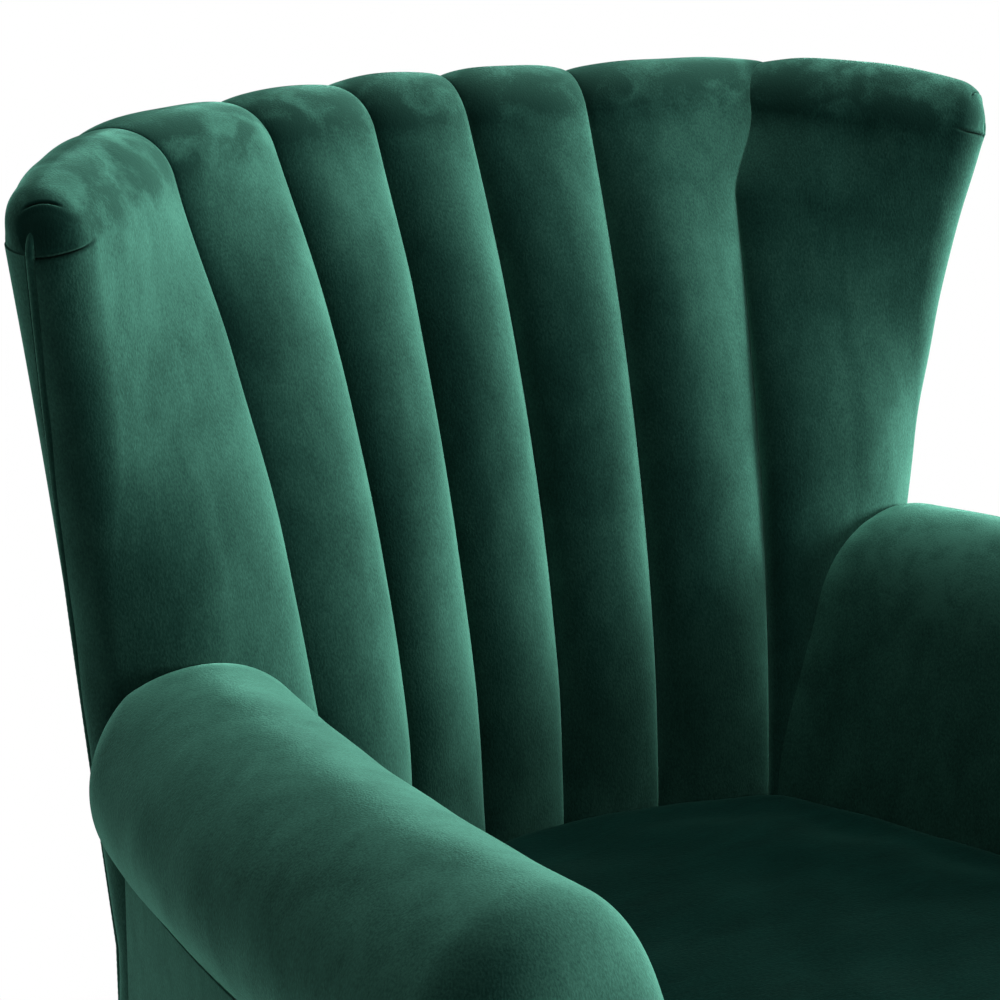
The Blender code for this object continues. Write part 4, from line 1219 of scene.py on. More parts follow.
        drawn = ease(low / self.drawn_rises[0]) * ease(-high / self.drawn_rises[1]) * near
        # Painted shade: full on the tucks' bells, and a share of it on the drawn cloth between them
        fold_shade = np.clip(bells + self.tuck_shade * drawn, 0.0, 1.0)
        return self.tuck_depth * bells + self.tuck_drawn * drawn, fold_shade

    def pad(self) -> Piece:
        """The padded wing, rounded at the edge and over the tip.

        The groove beside the welt shuts behind the tip, and the padding thins there.

        Returns:
            The piece.
        """
        fronts = np.concatenate([np.linspace(0.0, self.tip_from, self.rows_front),
                                 np.linspace(self.tip_from, 1.0, self.rows_tip)[1:]])
        turns = np.linspace(0.0, 1.0, self.rows_turn + 1)[1:] ** self.crowding * self.layout.top_turn
        points, normals = self.layout.outer_seam(fronts, turns)
        edge = self.layout.wing_line(fronts, turns)
        points = points + unit(edge[0] - points) * GAP / 2
        start, end = self.groove_shuts
        shut = 1 - self.shut_share * ease((turns - start) / (end - start))
        half = self.groove_half * np.concatenate([np.ones(len(fronts)), shut])
        ends = self.groove(np.concatenate([fronts, np.ones(len(turns))])) + half
        crowns = self.crowns(fronts, len(turns))
        start, end = self.tip_thins
        late = ease((turns - start) / (end - start))
        thin = np.concatenate([np.ones(len(fronts)), mix(1.0, self.tip_back, late)])
        outer, inner = self.section((points, normals), edge, crowns, ends, self.columns, self.arc, thin)
        rise = ease(np.linspace(0.0, self.calm_parts, outer.shape[1]))[None, :, None]
        outer = outer - grid_normals(outer) * lumps(outer, self.uneven)[..., None] * rise
        # The tucks' depth, and the painted shade that goes with them
        depth, fold_shade = self.tucks(outer, fronts, turns)
        outer = outer + grid_normals(outer) * depth[..., None]
        # Painted shade over the tip, as on the channels' tops
        nap = np.repeat(self.layout.brushed_and_painted_shade(fronts, turns)[:, None], outer.shape[1], axis=1)
        return MeshKit.shell("velvet_wing_" + self.side.tag, self.side.place(outer), self.side.place(inner),
                             {"fold_shade": fold_shade, "nap": nap})

    def front_depth(self, x: Array, z: Array) -> Array:
        """Depth of the wing's front at points of the left half, where the arm ends against it.

        The front's columns are read at the points' heights, and then between columns at their widths.

        Args:
            x: Widths.
            z: Heights.

        Returns:
            Depths.
        """
        rows, columns, share = 40, 40, 0.9
        fronts = np.linspace(0.0, share, rows)
        none = np.zeros(0)
        seam = self.layout.outer_seam(fronts, none)
        edge = self.layout.wing_line(fronts, none)
        grid = self.section(seam, edge, self.crowns(fronts, 0), np.zeros(rows), columns, 2)[0][:, :columns]
        xs, ys = [np.stack([np.interp(z, grid[:, k, 2], grid[:, k, axis]) for k in range(columns)])
                  for axis in (0, 1)]
        k = np.clip((xs <= x).sum(axis=0) - 1, 0, len(xs) - 2)
        pick = np.arange(len(x))
        t = np.clip((x - xs[k, pick]) / (xs[k + 1, pick] - xs[k, pick]), 0.0, 1.0)
        return mix(ys[k, pick], ys[k + 1, pick], t)

    def edge_frames(self, z: Array) -> tuple[Array, Array, Array]:
        """The round that the wing's edge is padded to.

        Args:
            z: Heights on the edge.

        Returns:
            Middles of the round, and the directions across and to the front of its plane.
        """
        share = (z - self.layout.pad_foot) / (self.layout.wing_top_z - self.layout.pad_foot)
        edge, front = self.layout.wing_line(share, np.zeros(0))
        rise = self.layout.outer_shoulder_z - self.layout.pad_foot
        across = unit(edge - self.layout.points(self.layout.outer, self.layout.pad_foot + share * rise))
        return edge - across * self.layout.wing_r, across, front

    def welt(self) -> Piece:
        """The welt cord: up the groove, drawn in a little at each stitch, and over the tip's round.

        The radius falls at each stitch by a squared cosine of the height, and over the tip by a cube.

        Returns:
            The piece.
        """
        share = np.linspace(0.0, 1.0, 260)
        z = self.layout.pad_foot + share * (self.layout.wing_top_z - self.tip_clear - self.layout.pad_foot)
        centre, across, front = self.edge_frames(z)
        a = self.groove(share)[:, None]
        reach = self.layout.wing_r - self.welt_r / 2
        path = centre + reach * (np.cos(a) * across + np.sin(a) * front)
        radius = self.welt_r * (1 - self.stitch_draw * np.cos(2 * math.pi * z / self.stitch_step) ** 2)
        over = np.linspace(0.0, 1.0, 40)[1:, None]
        lift = np.cross(front[-1], across[-1])
        lift = lift * np.sign(lift[2])
        turn = over * self.tip_turn
        ray = np.cos(turn) * across[-1] + np.sin(turn) * lift
        tip = centre[-1] + (reach - 0.5 * self.welt_r * over) * ray
        path = np.concatenate([path, tip + np.array([0.0, 0.0, self.tip_clear])])
        radius = np.concatenate([radius, self.welt_r * (1 - self.welt_taper * over[:, 0] ** 3)])
        return MeshKit.cord("velvet_welt_" + self.side.tag, self.side.place(path), radius)

    def outside_panel(self) -> Piece:
        """The outside panel: flat from the back's corner, then round the edge on its tangent.

        Returns:
            The piece.
        """
        rows, flat, arc = 90, 26, 22
        shell, foot, r = self.layout.shell, self.layout.pad_foot, self.layout.wing_r
        s = np.linspace(0.0, 1.0, rows)
        height = shell.foot + s * (self.layout.wing_top_z - self.tip_clear - shell.foot)
        last = self.groove((height - foot) / (self.layout.wing_top_z - foot)) - self.groove_half
        z = shell.foot + s * (shell.top + shell.rise - shell.foot)
        corner = np.concatenate([shell.at(shell.corner, z), z[:, None]], axis=1)
        centre, across, front = self.edge_frames(height)
        reach = [np.sum((corner - centre) * q, axis=-1) for q in (across, front)]
        tangent = np.arctan2(reach[1], reach[0]) + np.arccos(r / np.hypot(*reach))
        start = np.minimum(tangent, last - 2 * self.groove_half)
        angle = (start[:, None] + (last - start)[:, None] * np.linspace(0.0, 1.0, arc))[..., None]
        ray = np.cos(angle) * across[:, None] + np.sin(angle) * front[:, None]
        round_out, round_in = centre[:, None] + r * ray, centre[:, None] + (r - shell.thickness) * ray
        run = unit((round_out[:, 0] - corner) * np.array([1.0, 1.0, 0.0]))
        tuck = run + np.stack([run[:, 1], -run[:, 0], np.zeros(rows)], axis=-1)
        corner = corner + run * GAP
        part = np.linspace(0.0, 1.0, flat + 1)[None, :-1, None]
        outer = np.concatenate([mix(corner[:, None], round_out[:, :1], part), round_out], axis=1)
        inner_start = corner + tuck * shell.thickness
        inner = np.concatenate([mix(inner_start[:, None], round_in[:, :1], part), round_in], axis=1)
        outer[0, :, 2] = inner[0, :, 2] = shell.foot
        return MeshKit.shell("velvet_outside_wing_" + self.side.tag, self.side.place(outer),
                             self.side.place(inner))

    def build(self, finishes: Finishes) -> list[Piece]:
        """Builds and dresses the wing's three pieces.

        Args:
            finishes: The chair's finishes.

        Returns:
            The pieces.
        """
        tag = self.side.tag
        return [
            dress(self.pad(), finishes.velvet, ["wing_pad_" + tag]),
            dress(self.welt(), finishes.velvet, ["wing_welt_" + tag]),
            dress(self.outside_panel(), finishes.velvet, ["outside_wing_panel_" + tag]),
        ]


@dataclass
class Arm:
    """One arm: a fat roll with a swelled inner face, its outside panel and its front facing."""

    layout: BackLayout
    wing: Wing
    side: Side
    # Painted light on the roll's top where this is below zero, and painted shade where it is above
    nap: float = 0.0
    start: Plan = (0.2669, 0.1279)
    splay: float = 0.2774
    bend: float = 0.3388
    z: float = 0.549
    r: float = 0.070
    roll_from: float = 172.0
    roll_to: float = -58.0
    swell: float = 0.098
    swell_z: float = 0.445
    foot: float = 0.3045
    front: float = -0.225
    nose: float = 0.045
    nose_draw: float = 0.62
    leg_draw: float = 0.20
    tuck: float = 0.022
    rear_draw: float = 0.075
    slot_x: float = 0.0335
    slot_top: float = 0.520
    panel_x: float = 0.047
    panel_t: float = 0.008
    panel_lap: float = 0.0028
    # How far behind the front of the wing's round the outside panel's top steps down
    panel_step: float = 0.004
    facing_t: float = 0.017
    facing_ease: float = 0.020
    facing_power: float = 0.8
    # How far the inner face is filled out between the swell and the roll, and how wide corners are rounded
    filled: float = 0.003
    corner: float = 0.014
    facing_corner: float = 0.004
    # Shares of the section at which the slot's points lie, and how far below its top the second is
    slot_keys: tuple[float, ...] = (0.0, 0.34, 0.42, 0.62, 1.0)
    slot_ease: float = 0.02
    # How rows crowd towards the wing, and how the tuck there fades
    crowding: float = 1.25
    tuck_power: float = 2.2
    # Last turn of the nose, and the height over which the inner face takes the leg's draw
    nose_turn: float = math.radians(88)
    firm_run: float = 0.05
    # Unevenness of the padding, which comes in over the first of this many parts of the length
    uneven: float = 0.0006
    calm_parts: float = 12.0
    # Height over which the painted light and shade on the roll's top comes in
    nap_run: float = 0.03
    fill: float = 0.8
    facing_fill: float = 0.6
    points: int = 170
    rows: int = 90
    rows_nose: int = 34

    def axis(self, y: Array) -> Array:
        """Middle of the arm at a depth: a parabola that leaves the wing outward and straightens."""
        run = self.start[1] - y
        return self.start[0] + self.splay * run - self.bend * run * run

    def contour(self) -> tuple[Array, Array]:
        """The arm's section about its middle: the padded outline and the slot over the arm's frame.

        The outline runs up the swelled inner face, eases into the roll and goes round it to the
        underside; its corners are rounded by smooth_path.

        Returns:
            Matching points of the outline and of the slot.
        """
        turn = np.radians(np.linspace(self.roll_from, self.roll_to, 60))
        roll = np.stack([self.r * np.cos(turn), self.z + self.r * np.sin(turn)], axis=-1)
        low = np.array([[-self.swell, self.foot], [-self.swell, self.swell_z]])
        ramp = mix(low[1], roll[0], np.array([[0.33], [0.66]])) - np.array([self.filled, 0.0])
        outer = smooth_path(np.concatenate([low, ramp, roll]), self.points, self.corner)
        s = np.linspace(0.0, 1.0, self.points)
        x, top, under = self.slot_x, self.slot_top, roll[-1, 1]
        corners = ((-x, -x, -x, x, x), (self.foot, top - self.slot_ease, top, top, under))
        return outer, np.stack([np.interp(s, self.slot_keys, q) for q in corners], axis=-1)

    def rear_of(self, section: Array) -> Array:
        """Depths at which a section's points meet the wing's front.

        The arm's middle moves sideways with depth, so the depth is looked up again from each answer.

        Args:
            section: Points of the section about the arm's middle.

        Returns:
            Depths, just clear of the wing.
        """
        depth = np.full(len(section), self.start[1])
        rounds = 5
        for _ in range(rounds):
            depth = self.wing.front_depth(self.axis(depth) + section[:, 0], section[:, 1]) - SNUG
        return depth

    def pad(self) -> Piece:
        """The arm pad: its section carried along the axis, drawn in at the wing and rounded at the nose.

        The draw is a power of the distance from the wing, and one less the cosine of the nose's turn.

        Returns:
            The piece.
        """
        outer, slot = self.contour()
        rear = self.rear_of(outer)
        rear_slot = np.minimum(rear, self.rear_of(slot))
        s = np.linspace(0.0, 1.0, self.rows)[:, None] ** self.crowding
        y_long = mix(rear[None, :], self.front, s)
        near = np.clip(1 - (rear[None, :] - y_long) / self.tuck, 0, 1)
        draw_long = self.rear_draw * near ** self.tuck_power
        a = np.linspace(0.0, self.nose_turn, self.rows_nose)[1:, None]
        y_nose = np.repeat(self.front - self.nose * np.sin(a), self.points, axis=1)
        draw_nose = np.repeat(1 - np.cos(a), self.points, axis=1)
        y = np.concatenate([y_long, y_nose])
        draw = np.concatenate([draw_long, draw_nose])
        inside = ease((self.z - 0.5 * self.r - outer[:, 1]) / self.firm_run) * (outer[:, 0] < 0)
        firm = mix(self.nose_draw, self.leg_draw, inside)[None, :]
        skin = slot[None] + (outer - slot)[None] * (1 - firm * draw)[..., None]
        grid = np.stack([skin[..., 0] + self.axis(y), y, skin[..., 1]], axis=-1)
        away = ease(np.linspace(0.0, self.calm_parts, len(y)))[:, None, None]
        grid += grid_normals(grid) * lumps(grid, self.uneven)[..., None] * away
        y_slot = np.concatenate([mix(rear_slot[None, :], self.front, s), y_nose])
        hidden = np.stack([np.broadcast_to(slot[:, 0], y.shape) + self.axis(y_slot), y_slot,
                           np.broadcast_to(slot[:, 1], y.shape)], axis=-1)
        # Painted light and shade on the roll's top, above its middle, by the sign of the amount
        marks = {"nap": self.nap * ease((grid[..., 2] - self.z) / self.nap_run)}
        return MeshKit.shell("velvet_arm_" + self.side.tag, self.side.place(grid), self.side.place(hidden),
                             marks)

    def outside_panel(self) -> Piece:
        """The outside panel under the roll, run back below the wing pad and lapped over the wing panel.

        Its top follows the roll's circle on each face, and it thins where it laps over the wing panel.

        Returns:
            The piece.
        """
        foot = self.layout.pad_foot
        wing_y = self.layout.plan(self.layout.wing, np.array([self.layout.seat_z]))[0, 1]
        step = wing_y - self.layout.wing_r + self.panel_step
        centre, across, front = self.wing.edge_frames(np.array([foot]))
        last = self.wing.groove_low - self.wing.groove_half
        end = centre[0] + self.layout.wing_r * (math.cos(last) * across[0] + math.sin(last) * front[0])
        lap = end[1] + self.panel_lap
        thin = self.axis(lap) + self.panel_x - end[0] - 3 * GAP
        nose = self.front - self.nose + SNUG
        y = np.concatenate([np.linspace(lap, step + 2 * SNUG, 13), np.linspace(step, nose, 70)])
        thick = mix(thin, self.panel_t, np.clip((lap - y) / (4 * self.panel_lap), 0, 1))[:, None]
        rows = 30
        share = np.linspace(0.0, 1.0, rows)[None, :]
        grids = []
        for t in (np.zeros_like(thick), thick):
            roll = self.z - np.sqrt(self.r ** 2 - (self.panel_x - t) ** 2) - SNUG
            z = mix(self.layout.shell.foot, np.where(y[:, None] > step + SNUG, foot - SNUG, roll), share)
            x = np.repeat(self.axis(y)[:, None] + self.panel_x - t, rows, axis=1)
            grids.append(np.stack([x, np.repeat(y[:, None], rows, axis=1), z], axis=-1))
        return MeshKit.shell("velvet_outside_arm_" + self.side.tag, *[self.side.place(g) for g in grids])

    def facing(self) -> Piece:
        """The front facing: a round-headed outline, thick in the middle and eased at its edges.

        Towards the middle its depth follows a power of a sine and its inset one less a cosine.

        Returns:
            The piece.
        """
        back = self.front - self.nose * math.sin(self.nose_turn) - GAP
        half = self.slot_x + (self.r - self.slot_x) * (1 - self.nose_draw)
        head = self.slot_top + (self.z + self.r - self.slot_top) * (1 - self.nose_draw) - half
        a = np.linspace(0.0, math.pi, 60)
        arch = np.stack([half * np.cos(a), head + half * np.sin(a)], axis=-1)
        foot = self.layout.shell.foot
        outline = np.concatenate([[(half, foot)], arch, [(-half, foot)]])
        outline = smooth_path(outline, 160, self.facing_corner, closed=True)
        heart = np.array([0.0, (foot + head) / 2])
        q = np.linspace(0.0, math.pi / 2, 30)
        depth = self.facing_t * np.concatenate([[0.0], np.sin(q) ** self.facing_power])
        inset = np.concatenate([[0.0], self.facing_ease * (1 - np.cos(q))])
        away = (outline - heart)[None]
        pts = outline[None] - np.sign(away) * np.minimum(np.abs(away), inset[:, None, None])
        x = pts[..., 0] + self.axis(np.array(back))
        y = np.broadcast_to((back - depth)[:, None], x.shape)
        loops = np.stack([x, y, pts[..., 1]], axis=-1)
        return MeshKit.stack("velvet_arm_front_" + self.side.tag, self.side.place(loops))

    def build(self, finishes: Finishes) -> list[Piece]:
        """Builds and dresses the arm's three pieces.

        Args:
            finishes: The chair's finishes.

        Returns:
            The pieces.
        """
        tag = self.side.tag
        return [
            dress(self.pad(), finishes.velvet, ["arm_pad_" + tag]),
            dress(self.outside_panel(), finishes.velvet, ["outside_arm_panel_" + tag]),
            dress(self.facing(), finishes.velvet, ["arm_front_panel_" + tag]),
        ]


@dataclass
class Seat:
    """The crowned seat cushion and the padded border under its front."""

    layout: BackLayout
    arm: Arm
    front: float = -0.335
    foot: float = 0.3055
    edge: float = 0.425
    crown: float = 0.450
    # Room in front of the channels: in the middle, at the centre seam and further out
    rear_room: tuple[float, float, float] = (0.0065, 0.0070, 0.0075)
    # Turn from the outer seam's foot to the arm, measured from that foot, and where the arm's side starts
    rear_turn: Line = ((-0.008, -0.0055), (0.004, -0.018))
    side_from: float = 0.040
    # Front corner, measured from the arm's side and the front
    front_turn: Line = ((0.0, 0.035), (-0.008, 0.012), (-0.030, 0.002))
    # Rounding of the outline's corners and of the profile's
    corner: float = 0.006
    profile_corner: float = 0.005
    # The profile's widths are drawn in by this while it is smoothed
    squeeze: float = 0.25
    # How far above its edge the cushion is held while it is filled
    hold: float = 0.008
    # Unevenness of the cushion, and the height above its edge over which it comes in
    uneven: float = 0.0012
    uneven_run: float = 0.02
    border_front: float = -0.312
    border_dome: float = 0.012
    border_back: float = 0.0035
    # Power of the dome across the border, and the part of a half turn and the power of its sine upward
    dome_square: int = 6
    dome_part: tuple[float, float] = (0.12, 0.88)
    dome_power: float = 0.7
    # Height from which the border's back is cut away for the deck pad, and how far
    rebate_z: float = 0.293
    rebate: float = 0.0150
    stuffing: Stuffing = Stuffing()
    fill: float = 0.7
    border_fill: float = 0.6
    columns: int = 260
    rows: int = 110

    def outline(self) -> Array:
        """The cushion's outline: round the channels' feet, along the arms and square across the front.

        Returns:
            Plan points of the closed outline.
        """
        z = np.array(self.layout.seat_z)
        c, i, o = (self.layout.plan(q, z) for q in (self.layout.centre, self.layout.inner, self.layout.outer))
        middle, centre, outward = ((0.0, room) for room in self.rear_room)
        rear = [(0.0, c[1]) - np.array(middle), c - centre, (c + i) / 2 - outward, i - outward,
                (i + o) / 2 - outward, *(o + np.array(self.rear_turn))]
        side_y = np.linspace(o[1] - self.side_from, self.arm.front - self.arm.nose, 8)
        side = np.stack([self.arm.axis(side_y) - self.arm.swell - SNUG, side_y], axis=-1)
        x = side[-1, 0]
        corner = np.array([x, self.front]) + np.array(self.front_turn)
        half = np.concatenate([np.array(rear), side, corner, [(x / 2, self.front), (0.0, self.front)]])
        loop = np.concatenate([half, half[-2:0:-1] * np.array([-1.0, 1.0])])
        return smooth_path(loop, self.columns, self.corner, closed=True)

    def cushion(self) -> Piece:
        """The cushion: its outline drawn in at the foot, full at the border and crowned to the middle.

        Returns:
            The piece.
        """
        loop = self.outline()
        rear = self.layout.plan(self.layout.centre, np.array(self.layout.seat_z))[1]
        heart = np.array([0.0, (rear + self.front) / 2])
        # Shares of the outline with their heights, from the middle of the underside to the crown
        profile = np.array([
            (0.02, self.foot), (0.60, self.foot), (0.955, self.foot), (0.990, self.foot + 0.010),
            (1.0, self.foot + 0.055), (1.0, self.edge), (0.985, self.edge + 0.013), (0.94, self.edge + 0.022),
            (0.80, self.crown - 0.0045), (0.50, self.crown - 0.001), (0.02, self.crown),
        ])
        squeeze = np.array([self.squeeze, 1.0])
        profile = smooth_path(profile * squeeze, self.rows, self.profile_corner) / squeeze
        pts = heart + (loop - heart)[None] * profile[:, None, :1]
        z = np.broadcast_to(profile[:, 1:], pts.shape[:2])
        loops = np.concatenate([pts, z[..., None]], axis=-1)
        loops[..., 2] += lumps(loops, self.uneven) * ease((loops[..., 2] - self.edge) / self.uneven_run)
        return MeshKit.stack("velvet_seat_cushion", loops)

    def border(self) -> Piece:
        """The padded front border: a low dome between the arm fronts, cut back behind for the deck pad.

        The dome is one less a power of the width, times a power of a sine of the height.

        Returns:
            The piece.
        """
        a = self.arm
        nose = a.front - a.nose
        half = float(a.axis(np.array(nose))) - a.slot_x - (a.r - a.slot_x) * (1 - a.nose_draw) - SNUG
        u = np.linspace(-1.0, 1.0, 90)[:, None]
        v = np.linspace(0.0, 1.0, 40)[None, :]
        up = np.sin(mix(*self.dome_part, v) * math.pi) ** self.dome_power
        dome = (1 - np.abs(u) ** self.dome_square) * up
        x = np.broadcast_to(u * half, dome.shape)
        z = np.broadcast_to(mix(self.layout.shell.foot, a.foot - GAP, v), dome.shape)
        outer = np.stack([x, self.border_front + self.border_dome * (1 - dome), z], axis=-1)
        back = nose + np.where(z > self.rebate_z, -self.rebate, self.border_back)
        inner = np.stack([x, back, z], axis=-1)
        return MeshKit.shell("velvet_seat_border", outer, inner)

    def build(self, finishes: Finishes) -> list[Piece]:
        """Builds, fills and dresses the cushion, and builds and dresses its border.

        Args:
            finishes: The chair's finishes.

        Returns:
            The pieces.
        """
        cushion = self.stuffing.swell(self.cushion(), self.edge + self.hold)
        return [
            # The cushion wears the copy of the velvet with painted shade
            dress(cushion, finishes.seat_velvet, ["seat_cushion"]),
            dress(self.border(), finishes.velvet, ["seat_front_border"]),
        ]


@dataclass
class OutsideBack:
    """The outside back: one board from corner to corner, curved in plan and leaning back."""

    shell: Shell
    rows: int = 70
    columns: int = 91

    def panel(self) -> Piece:
        """The board: at each height a parabola through the shell's three lines, up to its top edge.

        Returns:
            The piece.
        """
        shell = self.shell
        share = np.linspace(-1.0, 1.0, self.columns)[None, :]
        s = np.linspace(0.0, 1.0, self.rows)[:, None]
        z = mix(shell.foot, shell.edge(share * shell.corner[1][0]), s)
        keys = [shell.at(q, z) for q in (shell.centre, shell.inner, shell.corner)]
        kx, ky = [q[..., 0] for q in keys], [q[..., 1] for q in keys]
        x = share * (kx[2] - GAP)
        w = np.abs(x)
        y = sum(ky[i] * (w - kx[j]) * (w - kx[k]) / ((kx[i] - kx[j]) * (kx[i] - kx[k]))
                for i, j, k in ((0, 1, 2), (1, 0, 2), (2, 0, 1)))
        slope = np.gradient(y, axis=1) / np.gradient(x, axis=1)
        lean = unit(np.stack([slope, -np.ones_like(slope)], axis=-1)) * shell.thickness
        outer = np.stack([x, y, z], axis=-1)
        inner = np.stack([x + lean[..., 0], y + lean[..., 1], z], axis=-1)
        return MeshKit.shell("velvet_outside_back", outer, inner)

    def build(self, finishes: Finishes) -> list[Piece]:
        """Builds and dresses the board."""
        return [dress(self.panel(), finishes.velvet, ["outside_back_panel"])]


class Row(Enum):
    """The row that a leg stands in, with the places of its top and its toe on the left side."""

    FRONT = ((0.270, -0.210), (0.282, -0.238))
    REAR = ((0.200, 0.151), (0.212, 0.214))


@dataclass
class Leg:
    """One turned and raked leg."""

    row: Row
    side: Side
    toe_z: float = 0.0067
    foot_z: float = 0.0070
    top_z: float = 0.1977
    belly_z: float = 0.090
    r_top: float = 0.0225
    r_belly: float = 0.0180
    r_foot: float = 0.0125
    corner: float = 0.0012
    rows: int = 90
    sides: int = 48

    @property
    def tag(self) -> str:
        """The ending of the leg's name."""
        return f"{self.row.name.lower()}_{self.side.tag}"

    def turned(self) -> Piece:
        """The turned leg: level circles whose middles follow the rake and whose radius is the profile.

        Returns:
            The piece.
        """
        t = self.top_z
        # Radii with their heights: rounded toe, belly, neck and collar
        profile = np.array([
            (self.r_foot - 0.0015, self.foot_z), (self.r_foot, self.foot_z + 0.003),
            (self.r_belly, self.belly_z),
            (self.r_top - 0.001, t - 0.030), (self.r_top - 0.0025, t - 0.016), (self.r_top, t - 0.012),
            (self.r_top, t - 0.002), (self.r_top - 0.0015, t),
        ])
        profile = smooth_path(profile, self.rows, self.corner)
        z = profile[:, 1]
        share = ((z - self.toe_z) / (t - self.toe_z))[:, None]
        top, toe = (np.array(q) * np.array([self.side.value, 1.0]) for q in self.row.value)
        middle = mix(toe, top, share)
        a = full_turn(self.sides)[None, :]
        x = middle[:, :1] + profile[:, :1] * np.cos(a)
        y = middle[:, 1:] + profile[:, :1] * np.sin(a)
        loops = np.stack([x, y, np.broadcast_to(z[:, None], x.shape)], axis=-1)
        return MeshKit.stack("turned_leg_" + self.tag, loops)

    def build(self, finishes: Finishes) -> list[Piece]:
        """Builds and dresses the leg."""
        return [dress(self.turned(), finishes.leg, ["leg_" + self.tag])]


class HiddenFrame:
    """The frame inside the upholstery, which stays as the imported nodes."""

    def build(self, finishes: Finishes) -> None:
        """Gives every node that is still shown its finish: timber, unless its name starts otherwise.

        Args:
            finishes: The chair's finishes.
        """
        starts = {
            "leg_bolt": finishes.steel, "leg_glide": finishes.nylon, "seat_spring": finishes.wire,
            "back_strap": finishes.webbing, "seat_deck": finishes.felt, "dust_cover": finishes.dust_cloth,
        }
        for name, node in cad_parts.items():
            if node.hide_render:
                continue
            finish = next((f for start, f in starts.items() if name.startswith(start)), finishes.timber)
            node.data.materials.clear()
            node.data.materials.append(finish)
            log.info("%s keeps its solid, in %s", name, finish.name)


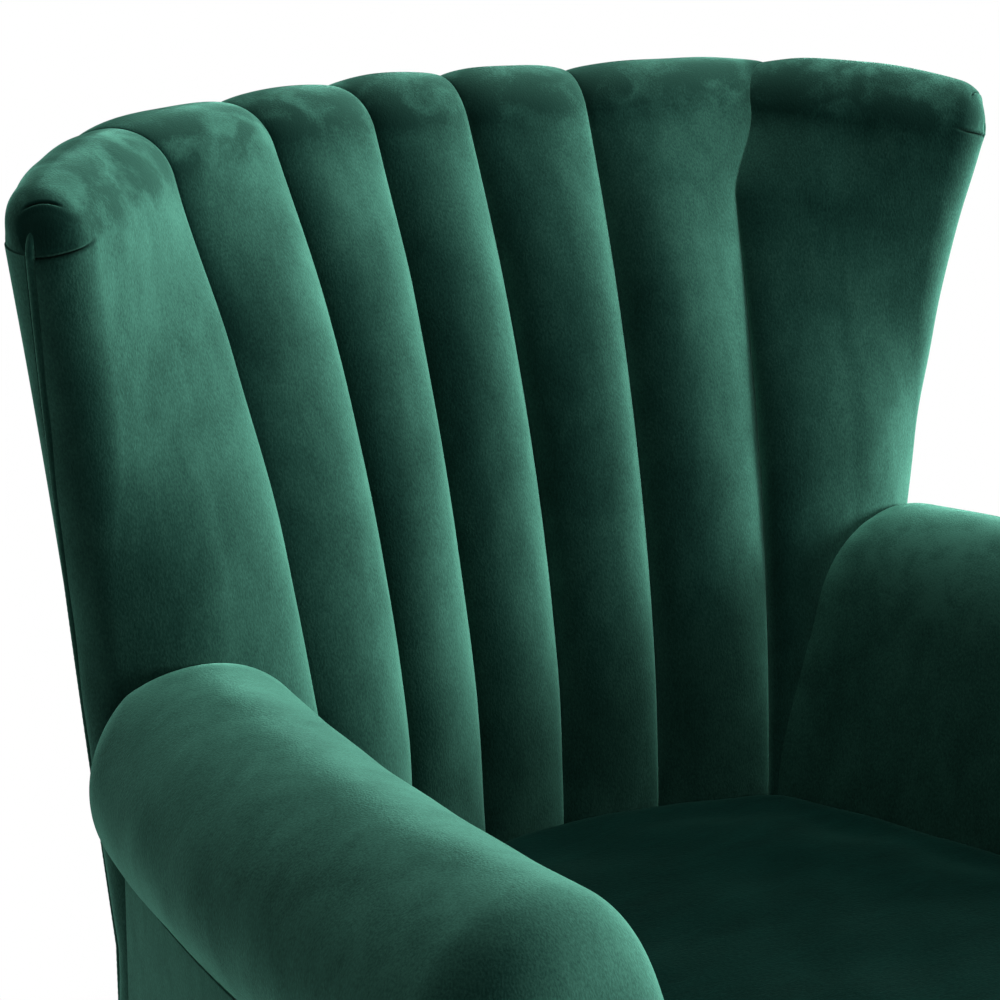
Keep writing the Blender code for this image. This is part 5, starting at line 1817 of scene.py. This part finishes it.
@dataclass
class Studio:
    """Pale floor, soft light from the picture's right, and the photograph's camera."""

    eye: tuple[float, float, float] = (-1.0849, -1.21405, 1.1355)
    target: tuple[float, float, float] = (-0.1613, -0.01355, 0.7194)
    lens: float = 108.0
    sensor: float = 36.0
    clip_start: float = 0.02
    # What the lamps look at, and the light that comes from all round
    lit: tuple[float, float, float] = (0.0, 0.0, 0.62)
    ambient: float = 0.02
    # How white the floor is near the chair, and the distances over which it turns wholly white
    near_floor: float = 0.55
    floor_fade: tuple[float, float] = (0.60, 1.00)
    floor_rings: tuple[float, ...] = (0.0005, 0.4, 0.8, 1.4, 2.5, 5.0, 12.0, 40.0)
    floor_sides: int = 96
    floor_tones: tuple[float, float] = (0.80, 0.83)
    floor_stops: tuple[float, float] = (0.3, 0.7)
    floor_scale: float = 4.0
    # Place, width and height, and power of each lamp
    lamps: dict[str, tuple[tuple[float, float, float], tuple[float, float], float]] = field(
        default_factory=lambda: {
            "key": ((1.85, -1.50, 0.95), (1.3, 0.5), 77.0),
            "fill": ((-1.7, -1.9, 2.1), (1.8, 1.8), 13.0),
            "top": ((0.8, -0.3, 2.8), (2.0, 2.0), 50.0),
        })

    def camera(self) -> None:
        """The camera, looking from the sitter's right and a little above."""
        data = bpy.data.cameras.new("camera")
        data.sensor_width = self.sensor
        data.lens = self.lens
        data.clip_start = self.clip_start
        camera = put("camera", data)
        aim(camera, self.eye, self.target)
        bpy.context.scene.camera = camera

    def light(self) -> None:
        """Area lamps turned to the chair, unseen by the camera."""
        for name, (place, size, power) in self.lamps.items():
            data = bpy.data.lights.new(name, "AREA")
            data.shape = "RECTANGLE"
            data.size, data.size_y = size
            data.energy = power
            lamp = put(name, data)
            aim(lamp, place, self.lit)
            lamp.visible_camera = False

    def world(self) -> None:
        """White to the camera and in reflections, and a low even light to everything else."""
        world = bpy.data.worlds.new("studio")
        bpy.context.scene.world = world
        world.use_nodes = True
        tree = world.node_tree
        back = tree.nodes["Background"]
        back.inputs["Color"].default_value = (1.0, 1.0, 1.0, 1.0)
        strength = tree.nodes.new("ShaderNodeMapRange")
        strength.inputs["To Min"].default_value = self.ambient
        strength.inputs["To Max"].default_value = 1.0
        tree.links.new(self.seen(tree), strength.inputs["Value"])
        tree.links.new(strength.outputs["Result"], back.inputs["Strength"])

    @staticmethod
    def seen(tree: bpy.types.NodeTree) -> object:
        """A value for what a ray is: 1 for camera, mirror and glass rays, 0 for the light's own bounces.

        Args:
            tree: The node tree that the value is used in.

        Returns:
            The value's socket.
        """
        path = tree.nodes.new("ShaderNodeLightPath")
        total = path.outputs["Is Camera Ray"]
        for name in ("Is Glossy Ray", "Is Transmission Ray"):
            step = tree.nodes.new("ShaderNodeMath")
            step.operation = "MAXIMUM"
            tree.links.new(total, step.inputs[0])
            tree.links.new(path.outputs[name], step.inputs[1])
            total = step.outputs[0]
        return total

    def floor(self) -> None:
        """A pale disc of rings that keeps the shadow near the chair and turns white further out."""
        radius = np.array(self.floor_rings)[:, None]
        a = full_turn(self.floor_sides)[None, :]
        x, y = radius * np.cos(a), radius * np.sin(a)
        rings = np.stack([x, y, np.zeros_like(x)], axis=-1)
        mesh = bpy.data.meshes.new("floor")
        mesh.from_pydata(rings.reshape(-1, 3).tolist(), [], MeshKit.quads(*x.shape, closed=True).tolist())
        floor = put("floor", mesh)
        s = Shader("pale_floor")
        s.fixed(Roughness=0.9, Specular_IOR_Level=0.0)
        greys = [(tone, tone, tone) for tone in self.floor_tones]
        s.paint(s.ramp(s.noise(self.floor_scale, detail=2.0), tuple(zip(self.floor_stops, greys))))
        glow = s.node("ShaderNodeEmission")
        length = s.node("ShaderNodeVectorMath", operation="LENGTH")
        s.link(s.place, length.inputs[0])
        fade = s.node("ShaderNodeMapRange", interpolation_type="SMOOTHSTEP")
        fade.inputs["From Min"].default_value, fade.inputs["From Max"].default_value = self.floor_fade
        fade.inputs["To Min"].default_value = self.near_floor
        s.link(length.outputs["Value"], fade.inputs["Value"])
        both = s.node("ShaderNodeMixShader")
        s.link(s.product(fade.outputs["Result"], self.seen(s.tree)), both.inputs["Fac"])
        s.link(s.surface.outputs["BSDF"], both.inputs[1])
        s.link(glow.outputs["Emission"], both.inputs[2])
        s.link(both.outputs["Shader"], s.tree.nodes["Material Output"].inputs["Surface"])
        mesh.materials.append(s.material)

    def build(self) -> None:
        """Builds the studio."""
        bpy.context.scene.view_settings.view_transform = "Standard"
        self.camera()
        self.light()
        self.world()
        self.floor()


def main() -> None:
    """Builds the chair's pieces in order and reports each one."""
    logging.basicConfig(level=logging.INFO, format="%(message)s")
    finishes = Finishes()
    far, near = BackLayout.far_half(), BackLayout()
    pieces = ChannelBack({Side.LEFT: far, Side.RIGHT: near}).build(finishes)
    far_wing, near_wing = Wing(far, Side.LEFT, top_fullness=1.9), Wing(near, Side.RIGHT)
    # The far arm's top gets painted light
    far_arm, near_arm = Arm(far, far_wing, Side.LEFT, nap=-0.5), Arm(near, near_wing, Side.RIGHT)
    for part in (far_wing, far_arm, near_wing, near_arm, Seat(near, near_arm), OutsideBack(near.shell)):
        pieces += part.build(finishes)
    for side in Side:
        for row in Row:
            pieces += Leg(row, side).build(finishes)
    HiddenFrame().build(finishes)
    Studio().build()
    log.info("%d new pieces", len(pieces))


if __name__ == "__main__":
    main()
